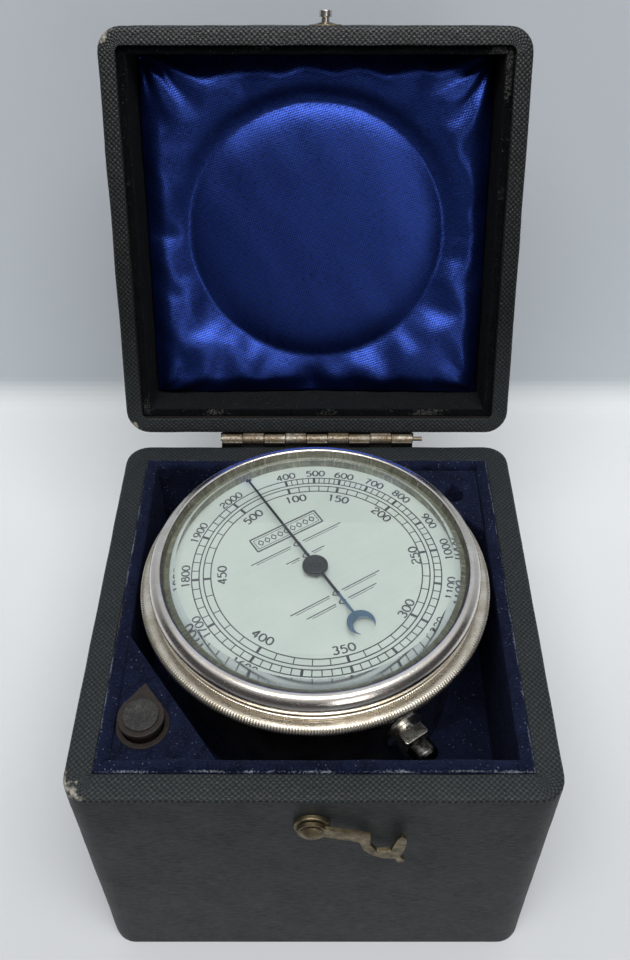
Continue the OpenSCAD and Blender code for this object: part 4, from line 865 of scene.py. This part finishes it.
bezelInside = {"radius": 47.3, "below": 122.0}
bezelLine = softPath(
    [[47.0, 113.75], [49.2, 113.75], [49.2, 115.3], [50.7, 115.5], [51.5, 117.3],
     [51.45, 120.1], [49.3, 122.35], [47.6, 122.3], [46.95, 119.9], [46.95, 118.95]],
    [0.2, 0.2, 0.3, 0.5, 1.5, 1.5, 1.2, 0.5, 0.3, 0.05], steps=7)
bezel = lathe("bezel_ring", bezelLine, steps=320)
dress(bezel, "instrument", "nickel", metals["nickel"], spacerCream, replaces=("bezel",))
# The bezel's inner wall takes the cream spacer material, painted reflection streaks included
middles = np.array([p.center for p in bezel.data.polygons]) / mm
isInside = (np.hypot(middles[:, 0], middles[:, 1]) < bezelInside["radius"]) & (middles[:, 2] < bezelInside["below"])
bezel.data.polygons.foreach_set("material_index", isInside.astype(np.int32))

milling = {"teeth": 390, "depth": 0.32, "from": 53.6, "beadTeeth": 420, "beadDepth": 0.12, "beadFrom": 50.7,
           "beadMiddle": (50.55, 114.2), "beadHalf": (0.85, 0.55)}
flangeLine = evenPath(softPath(
    [[46.7, 110.85], [54.2, 110.85], [54.85, 111.3], [54.9, 112.6], [54.3, 113.35], [53.5, 113.72], [51.9, 113.72],
     [46.7, 113.6]], [0.1, 0.3, 0.4, 0.5, 0.4, 0.5, 0.2, 0.1], steps=4), 1.2)
flange = lathe("milled_flange_ring", flangeLine, teeth=milling["teeth"], toothDepth=milling["depth"],
               toothStart=milling["from"])
dress(flange, "instrument", "nickel", metals["worn nickel"], replaces=("milled_flange",))
beadAngle = np.linspace(0, 2 * np.pi, 15)
beadLine = np.stack([milling["beadMiddle"][0] + milling["beadHalf"][0] * np.cos(beadAngle),
                     milling["beadMiddle"][1] + milling["beadHalf"][1] * np.sin(beadAngle)], axis=-1)
bead = lathe("milled_bead", beadLine, teeth=milling["beadTeeth"], toothDepth=milling["beadDepth"],
             toothStart=milling["beadFrom"])
dress(bead, "instrument", "nickel", metals["worn nickel"])

glassSize = {"radius": 46.9, "low": 118.9, "top": 122.3, "flat": 43.3, "edge": 119.7}
radius, low, top, flat, edge = (glassSize[key] for key in ("radius", "low", "top", "flat", "edge"))
glassLine = softPath([[0, low], [radius, low], [radius, edge], [flat, top], [0, top]], [0, 0.12, 0.1, 0.08, 0],
                     steps=4, closed=False)
glass = lathe("bevelled_glass", glassLine, steps=320, sharpAngle=12)
dress(glass, "instrument", "glass", clearGlass, replaces=("glass",))

spacerLine = softPath([[44.1, 115.52], [46.9, 115.52], [46.9, 118.88], [44.3, 118.88]], [0.1, 0.1, 0.1, 0.15], steps=3)
spacer = lathe("spacer_silvered", spacerLine, sharpAngle=40)
dress(spacer, "instrument", "silvered", spacerCream, replaces=("spacer_ring",))

pointerFiled = {"share": 0.38, "half": 1.2, "from": -12.5, "to": 34}  # only the arm, not the crescent or the tip
pointerArm = roundedCopy("pointer", "pointer", "blued_steel", pointerBlue, 0.05)
pointerPoints = np.empty(len(pointerArm.data.vertices) * 3, np.float32)
pointerArm.data.vertices.foreach_get("co", pointerPoints)
pointerPoints = pointerPoints.reshape(-1, 3)
pointerSide = np.array([math.cos(math.radians(dialPlace["turn"])), math.sin(math.radians(dialPlace["turn"]))])
across = pointerPoints[:, :2] @ pointerSide / mm
along = pointerPoints[:, :2] @ np.array([-pointerSide[1], pointerSide[0]]) / mm
onArm = (np.abs(across) < pointerFiled["half"]) & (along > pointerFiled["from"]) & (along < pointerFiled["to"])
pointerPoints[:, :2] -= (np.where(onArm, across, 0) * mm * pointerFiled["share"])[:, None] * pointerSide
pointerArm.data.vertices.foreach_set("co", pointerPoints.ravel())
pointerArm.data.update()
print("instrument made")

scaleMarks = {
    "outerBand": (36.3, 38.6), "innerBand": (32.7, 35.0), "line": 0.32, "bold": 0.85, "circle": 0.368, "height": 0.03,
    "sunk": 0.01, "outerNumeral": 2.5, "innerNumeral": 2.75, "advance": 0.88, "wide": 1.18,
    "outerTurned": (1000, 1600), "innerTurned": (250, 400),
    # Dial angles of the inner scale's values, every 25 from 100 to 500
    "angles": [16.2, 30.6, 43.6, 58.0, 74.9, 92.8, 111, 131, 153.5, 175, 196.5, 218.5, 241.7, 268.3, 295.8, 321.8,
               346.8],
    # For each number, how far it stands past its line in degrees, and its radius
    "outerNumerals": {400: (0.9, 40.6), 500: (0.7, 40.8), 600: (1.5, 40.6), 700: (2.2, 40.8), 800: (-0.1, 41.1),
                      900: (1.1, 41.2), 1000: (0.6, 41.7), 1100: (1.7, 41.6), 1200: (0.9, 41.6), 1300: (1.0, 41.3),
                      1400: (1.0, 41.0), 1500: (1.0, 40.7), 1600: (1.2, 40.5), 1700: (1.4, 40.3), 1800: (2.3, 40.5),
                      1900: (1.6, 40.5), 2000: (0.7, 40.4)},
    "innerNumerals": {100: (2.4, 30.1), 150: (2.0, 30.1), 200: (0.4, 30.7), 250: (1.5, 31.1), 300: (-2.1, 30.8),
                      350: (0.5, 30.3), 400: (2.3, 29.7), 450: (1.9, 29.3), 500: (1.3, 29.8)},
}


def onDial(angle, radius, across=0.0):
    # Clockwise dial angle and radius to x and y; across is measured along the clockwise tangent
    turn = np.radians(np.asarray(angle, float) - dialPlace["turn"])
    return np.stack([radius * np.sin(turn) + across * np.cos(turn) + dialPlace["shift"],
                     radius * np.cos(turn) - across * np.sin(turn)], -1)


def prism(outline):
    # Many flat plates of four corners each, from just under the dial's face to the marks' height
    points = np.zeros((len(outline), 2, 4, 3))
    points[..., :2] = outline[:, None]
    points[:, 0, :, 2] = dialPlace["face"] - scaleMarks["sunk"]
    points[:, 1, :, 2] = dialPlace["face"] + scaleMarks["height"]
    one = np.array([[0, 3, 2, 1], [4, 5, 6, 7], [0, 1, 5, 4], [1, 2, 6, 5], [2, 3, 7, 6], [3, 0, 4, 7]])
    return points.reshape(-1, 3), (one[None] + 8 * np.arange(len(outline))[:, None, None]).reshape(-1, 4)


def ribbon(line, width):
    # A stroke with square ends; its width follows the given array
    along = np.gradient(line, axis=0)
    along /= np.linalg.norm(along, axis=1, keepdims=True)
    side = np.stack([-along[:, 1], along[:, 0]], -1) * width[:, None] / 2
    left, right = line + side, line - side
    return prism(np.stack([left[:-1], left[1:], right[1:], right[:-1]], axis=1))


def inkPiece(name, parts):
    # Joins many (points, faces) pairs into one piece of engraving wax
    counts = np.cumsum([0] + [len(points) for points, faces in parts])
    faces = np.vstack([faces + count for (points, faces), count in zip(parts, counts)])
    dress(newPiece(name, np.vstack([points for points, faces in parts]) * mm, faces), "instrument", "silvered", ink)


def arcStroke(centreX, centreY, radiusX, radiusY, start, end, count):
    turn = np.radians(np.linspace(start, end, count))
    return np.stack([centreX + radiusX * np.cos(turn), centreY + radiusY * np.sin(turn)], -1)


def lineStroke(*points):
    return evenPath(np.array(points, float), 0.1)


# Strokes of each digit in a square one high about its middle
digitStrokes = {
    "0": [arcStroke(0, 0, 0.29, 0.47, 0, 360, 30)],
    "1": [lineStroke((0.02, -0.5), (0.02, 0.5)), lineStroke((0.02, 0.47), (-0.12, 0.33))],
    "2": [np.vstack([arcStroke(0, 0.2, 0.25, 0.28, 165, -30, 16), arcStroke(0.35, -0.62, 0.62, 0.72, 104, 168, 12)]),
          lineStroke((-0.28, -0.46), (0.28, -0.46))],
    "3": [arcStroke(-0.02, 0.24, 0.22, 0.24, 150, -85, 18), arcStroke(-0.02, -0.22, 0.26, 0.26, 88, -150, 20)],
    "4": [lineStroke((0.12, -0.5), (0.12, 0.5)), lineStroke((0.12, 0.47), (-0.3, -0.2)),
          lineStroke((-0.3, -0.2), (0.3, -0.2))],
    "5": [lineStroke((-0.17, 0.46), (0.24, 0.46)), lineStroke((-0.17, 0.46), (-0.21, 0.04)),
          arcStroke(-0.03, -0.17, 0.28, 0.31, 128, -140, 22)],
    "6": [arcStroke(0, -0.2, 0.26, 0.28, 0, 360, 26), arcStroke(0.36, -0.16, 0.62, 0.66, 176, 108, 14)],
    "7": [lineStroke((-0.27, 0.46), (0.27, 0.46)), arcStroke(0.5, -0.62, 0.6, 1.12, 113, 173, 12)],
    "8": [arcStroke(0, 0.24, 0.21, 0.23, 0, 360, 24), arcStroke(0, -0.23, 0.27, 0.25, 0, 360, 26)],
    "9": [arcStroke(0, 0.2, 0.26, 0.28, 0, 360, 26), arcStroke(-0.36, 0.16, 0.62, 0.66, -4, -72, 14)],
}


def numeral(text, angle, radius, height, inwards):
    # Digits set one by one round the circle, tops outwards or inwards; upright strokes are the thick ones
    side = -1.0 if inwards else 1.0
    parts = []
    for place, digit in enumerate(text):
        step = (place - (len(text) - 1) / 2) * (height * scaleMarks["advance"])
        turn = angle + side * math.degrees(step / radius)
        for stroke in digitStrokes[digit]:
            line = onDial(turn, radius + side * stroke[:, 1] * height,
                          side * stroke[:, 0] * height * scaleMarks["wide"])
            slope = np.gradient(stroke, axis=0)
            upright = np.abs(slope[:, 1]) / np.linalg.norm(slope, axis=1)
            parts.append(ribbon(line, height * (0.13 + 0.08 * upright)))
    return parts


def ticks(angles, inner, outer, width):
    # Radial lines at the given angles
    sides = np.array([-1, -1, 1, 1])[None] * width / 2
    return prism(onDial(np.asarray(angles, float)[:, None], np.array([inner, outer, outer, inner])[None], sides))


def circleLine(radius, width, steps=360):
    # A thin ring of four-cornered plates
    turn = np.linspace(0, 360, steps + 1)
    near, far = radius - width / 2, radius + width / 2
    return prism(np.stack([onDial(turn[:-1], near), onDial(turn[:-1], far), onDial(turn[1:], far),
                           onDial(turn[1:], near)], axis=1))


def angleOf(value):
    # Dial angle of a value of the inner scale, between the measured angles
    return np.interp(value, np.linspace(100, 500, len(scaleMarks["angles"])), scaleMarks["angles"])


# Each scale: its band, its numbered values, its finer values, and how many times the inner scale it reads
scales = [("inner", np.arange(100, 501, 50), np.arange(100, 501, 10), 1),
          ("outer", np.arange(400, 2001, 100), np.arange(400, 2001, 20), 4)]
lineParts, numeralParts = [], []
for name, numbered, finer, ratio in scales:
    band = scaleMarks[name + "Band"]
    lineParts += [circleLine(radius, scaleMarks["circle"]) for radius in band]
    lineParts += [ticks(angleOf(numbered / ratio), *band, scaleMarks["bold"]),
                  ticks(angleOf(np.setdiff1d(finer, numbered) / ratio), *band, scaleMarks["line"])]
    first, last = scaleMarks[name + "Turned"]
    for value, (onwards, radius) in scaleMarks[name + "Numerals"].items():
        numeralParts += numeral(str(value), float(angleOf(value / ratio)) + onwards, radius,
                                scaleMarks[name + "Numeral"], first <= value <= last)
inkPiece("dial_scale_lines", lineParts)
inkPiece("dial_numerals", numeralParts)

ornament = {"panelMid": 18.3, "panelHalf": (12.0, 2.7), "frames": [(0.0, 0.5), (0.85, 0.2)], "lozenge": (0.85, 1.1),
            "pitch": 2.35, "rules": [(12.0, 16.5), (6.6, 7.0), (-10.8, 16.0), (-14.4, 12.5)]}


def levelRibbon(points, width):
    # A line of even width, from the dial's own right and up to x and y
    turn = math.radians(dialPlace["turn"])
    points = evenPath(np.array(points, float), 0.4)
    line = np.stack([points[:, 0] * math.cos(turn) - points[:, 1] * math.sin(turn) + dialPlace["shift"],
                     points[:, 0] * math.sin(turn) + points[:, 1] * math.cos(turn)], -1)
    return ribbon(line, np.full(len(line), width))


def lozenge(x, y, halfX, halfY):
    return levelRibbon([(x - halfX, y), (x, y + halfY), (x + halfX, y), (x, y - halfY), (x - halfX, y)], 0.36)


# A double frame with lozenges, and double rules with a small lozenge between their halves
m = ornament["panelMid"]
ornamentParts = [lozenge(place, m, *ornament["lozenge"]) for place in np.arange(-4, 5) * ornament["pitch"]]
for inset, weight in ornament["frames"]:
    w, h = ornament["panelHalf"][0] - inset, ornament["panelHalf"][1] - inset
    ornamentParts.append(levelRibbon([(-w, m - h), (w, m - h), (w, m + h), (-w, m + h), (-w, m - h)], weight))
for level, half in ornament["rules"]:
    for side in (-1, 1):
        ornamentParts.append(levelRibbon([(side * 2.2, level), (side * half, level)], 0.34))
        ornamentParts.append(levelRibbon([(side * 2.6, level - 0.75), (side * (half - 1.5), level - 0.75)], 0.2))
    ornamentParts.append(lozenge(0, level - 0.2, 1.2, 0.95))
inkPiece("dial_ornament", ornamentParts)
print("dial made")

# A floor that bends up into a wall
stageSize = {"wallY": 213.6, "halfWidth": 1500.0, "front": -1200.0, "wallTop": 900.0, "bend": 14.0}
stageTones = {"wallLow": (0.59, 0.632, 0.665), "wallHigh": (0.54, 0.574, 0.612), "floorBack": (0.805, 0.822, 0.826),
              "floorFront": (0.50, 0.51, 0.527), "mirrored": (0.12, 0.125, 0.13), "direct": (0.60, 0.64, 0.67)}
bendAngle = np.linspace(0, math.pi / 2, 9)
stageLine = np.vstack([[stageSize["front"], 0.0], np.stack([
    stageSize["wallY"] - stageSize["bend"] + stageSize["bend"] * np.sin(bendAngle),
    stageSize["bend"] - stageSize["bend"] * np.cos(bendAngle)], -1), [stageSize["wallY"], stageSize["wallTop"]]])
stageGrid = np.zeros((2, len(stageLine), 3))
stageGrid[:, :, 1:] = stageLine[None]
stageGrid[0, :, 0], stageGrid[1, :, 0] = -stageSize["halfWidth"], stageSize["halfWidth"]


def makeStage():
    # Pale floor and wall; the wall lets through what looks at it from behind
    material, tree, shader = newMaterial("pale backdrop", {"Roughness": 0.7, "Specular IOR Level": 0.2})
    place = put(tree, "ShaderNodeTexCoord").outputs["Object"]
    height, backwards = partOf(tree, place, 2), partOf(tree, place, 1)
    # Painted shade: the wall darkens upwards and the floor darkens towards the front
    wall = tint(tree, remap(tree, height, 0.03, 0.30), stageTones["wallLow"], stageTones["wallHigh"])
    floor = tint(tree, remap(tree, backwards, 0.13, -0.17), stageTones["floorBack"], stageTones["floorFront"])
    # Mirrored, the table in front is the dark side of the room
    glossy = put(tree, "ShaderNodeLightPath").outputs["Is Glossy Ray"]
    floor = tint(tree, times(tree, remap(tree, backwards, -0.1, -0.3), glossy), floor, stageTones["mirrored"])
    fill(shader, {"Base Color": tint(tree, remap(tree, height, 0.0, 0.012), floor, wall)})
    seeThrough(tree, shader, put(tree, "ShaderNodeNewGeometry").outputs["Backfacing"], (1, 1, 1))
    return material


stageMesh = bpy.data.meshes.new("backdrop")
stageMesh.from_pydata((stageGrid.reshape(-1, 3) * mm).tolist(), [], gridFaces(*stageGrid.shape[:2]).tolist())
stageMesh.materials.append(makeStage())
addObject("backdrop", stageMesh)
print("backdrop faces", [round(c, 2) for c in stageMesh.polygons[0].normal])

skyLight = {"above": (0.98, 0.985, 1.0), "front": (0.075, 0.075, 0.08), "from": 0.42, "to": 0.76, "strength": 0.8}
world = bpy.data.worlds.new("studio")
bpy.context.scene.world = world
world.use_nodes = True
sky = world.node_tree
upwards = partOf(sky, put(sky, "ShaderNodeTexCoord").outputs["Generated"], 2)
skyTone = tint(sky, remap(sky, upwards, skyLight["from"], skyLight["to"]), skyLight["front"], skyLight["above"])
# Seen straight on, as from behind the wall, the surroundings are as pale as the wall
direct = put(sky, "ShaderNodeLightPath").outputs["Is Camera Ray"]
fill(sky.nodes["Background"], {0: tint(sky, direct, skyTone, stageTones["direct"]), 1: skyLight["strength"]})

# Name: place, what it points at, size, power
lamps = {"overhead": ((0.03, -0.36, 1.1), (0, 0.05, 0.1), (0.9, 0.4), 9.0),
         "side fill": ((0.3, -0.8, 0.42), (0.02, -0.04, 0.1), (0.3, 0.3), 0.7)}
for name, (place, target, size, power) in lamps.items():
    data = bpy.data.lights.new(name, "AREA")
    data.shape, data.size, data.size_y, data.energy = "RECTANGLE", *size, power
    lamp = addObject(name, data)
    lamp.location = place
    aim = np.array(target) - np.array(place)
    lamp.rotation_euler = (math.atan2(math.hypot(aim[0], aim[1]), -aim[2]), 0, math.atan2(aim[1], aim[0]) - math.pi / 2)

cameraView = {"lens": 37.72, "shift": (-0.0121, -0.0382), "place": (0.00355, -0.19866, 0.36438), "tilt": 45.88}
cameraData = bpy.data.cameras.new("view")
cameraData.sensor_width, cameraData.lens = 36.0, cameraView["lens"]
cameraData.shift_x, cameraData.shift_y = cameraView["shift"]
camera = addObject("view", cameraData)
camera.location = cameraView["place"]
camera.rotation_euler = (math.radians(cameraView["tilt"]), 0, 0)
bpy.context.scene.camera = camera
bpy.context.scene.view_settings.view_transform = "Standard"
print("stage made")
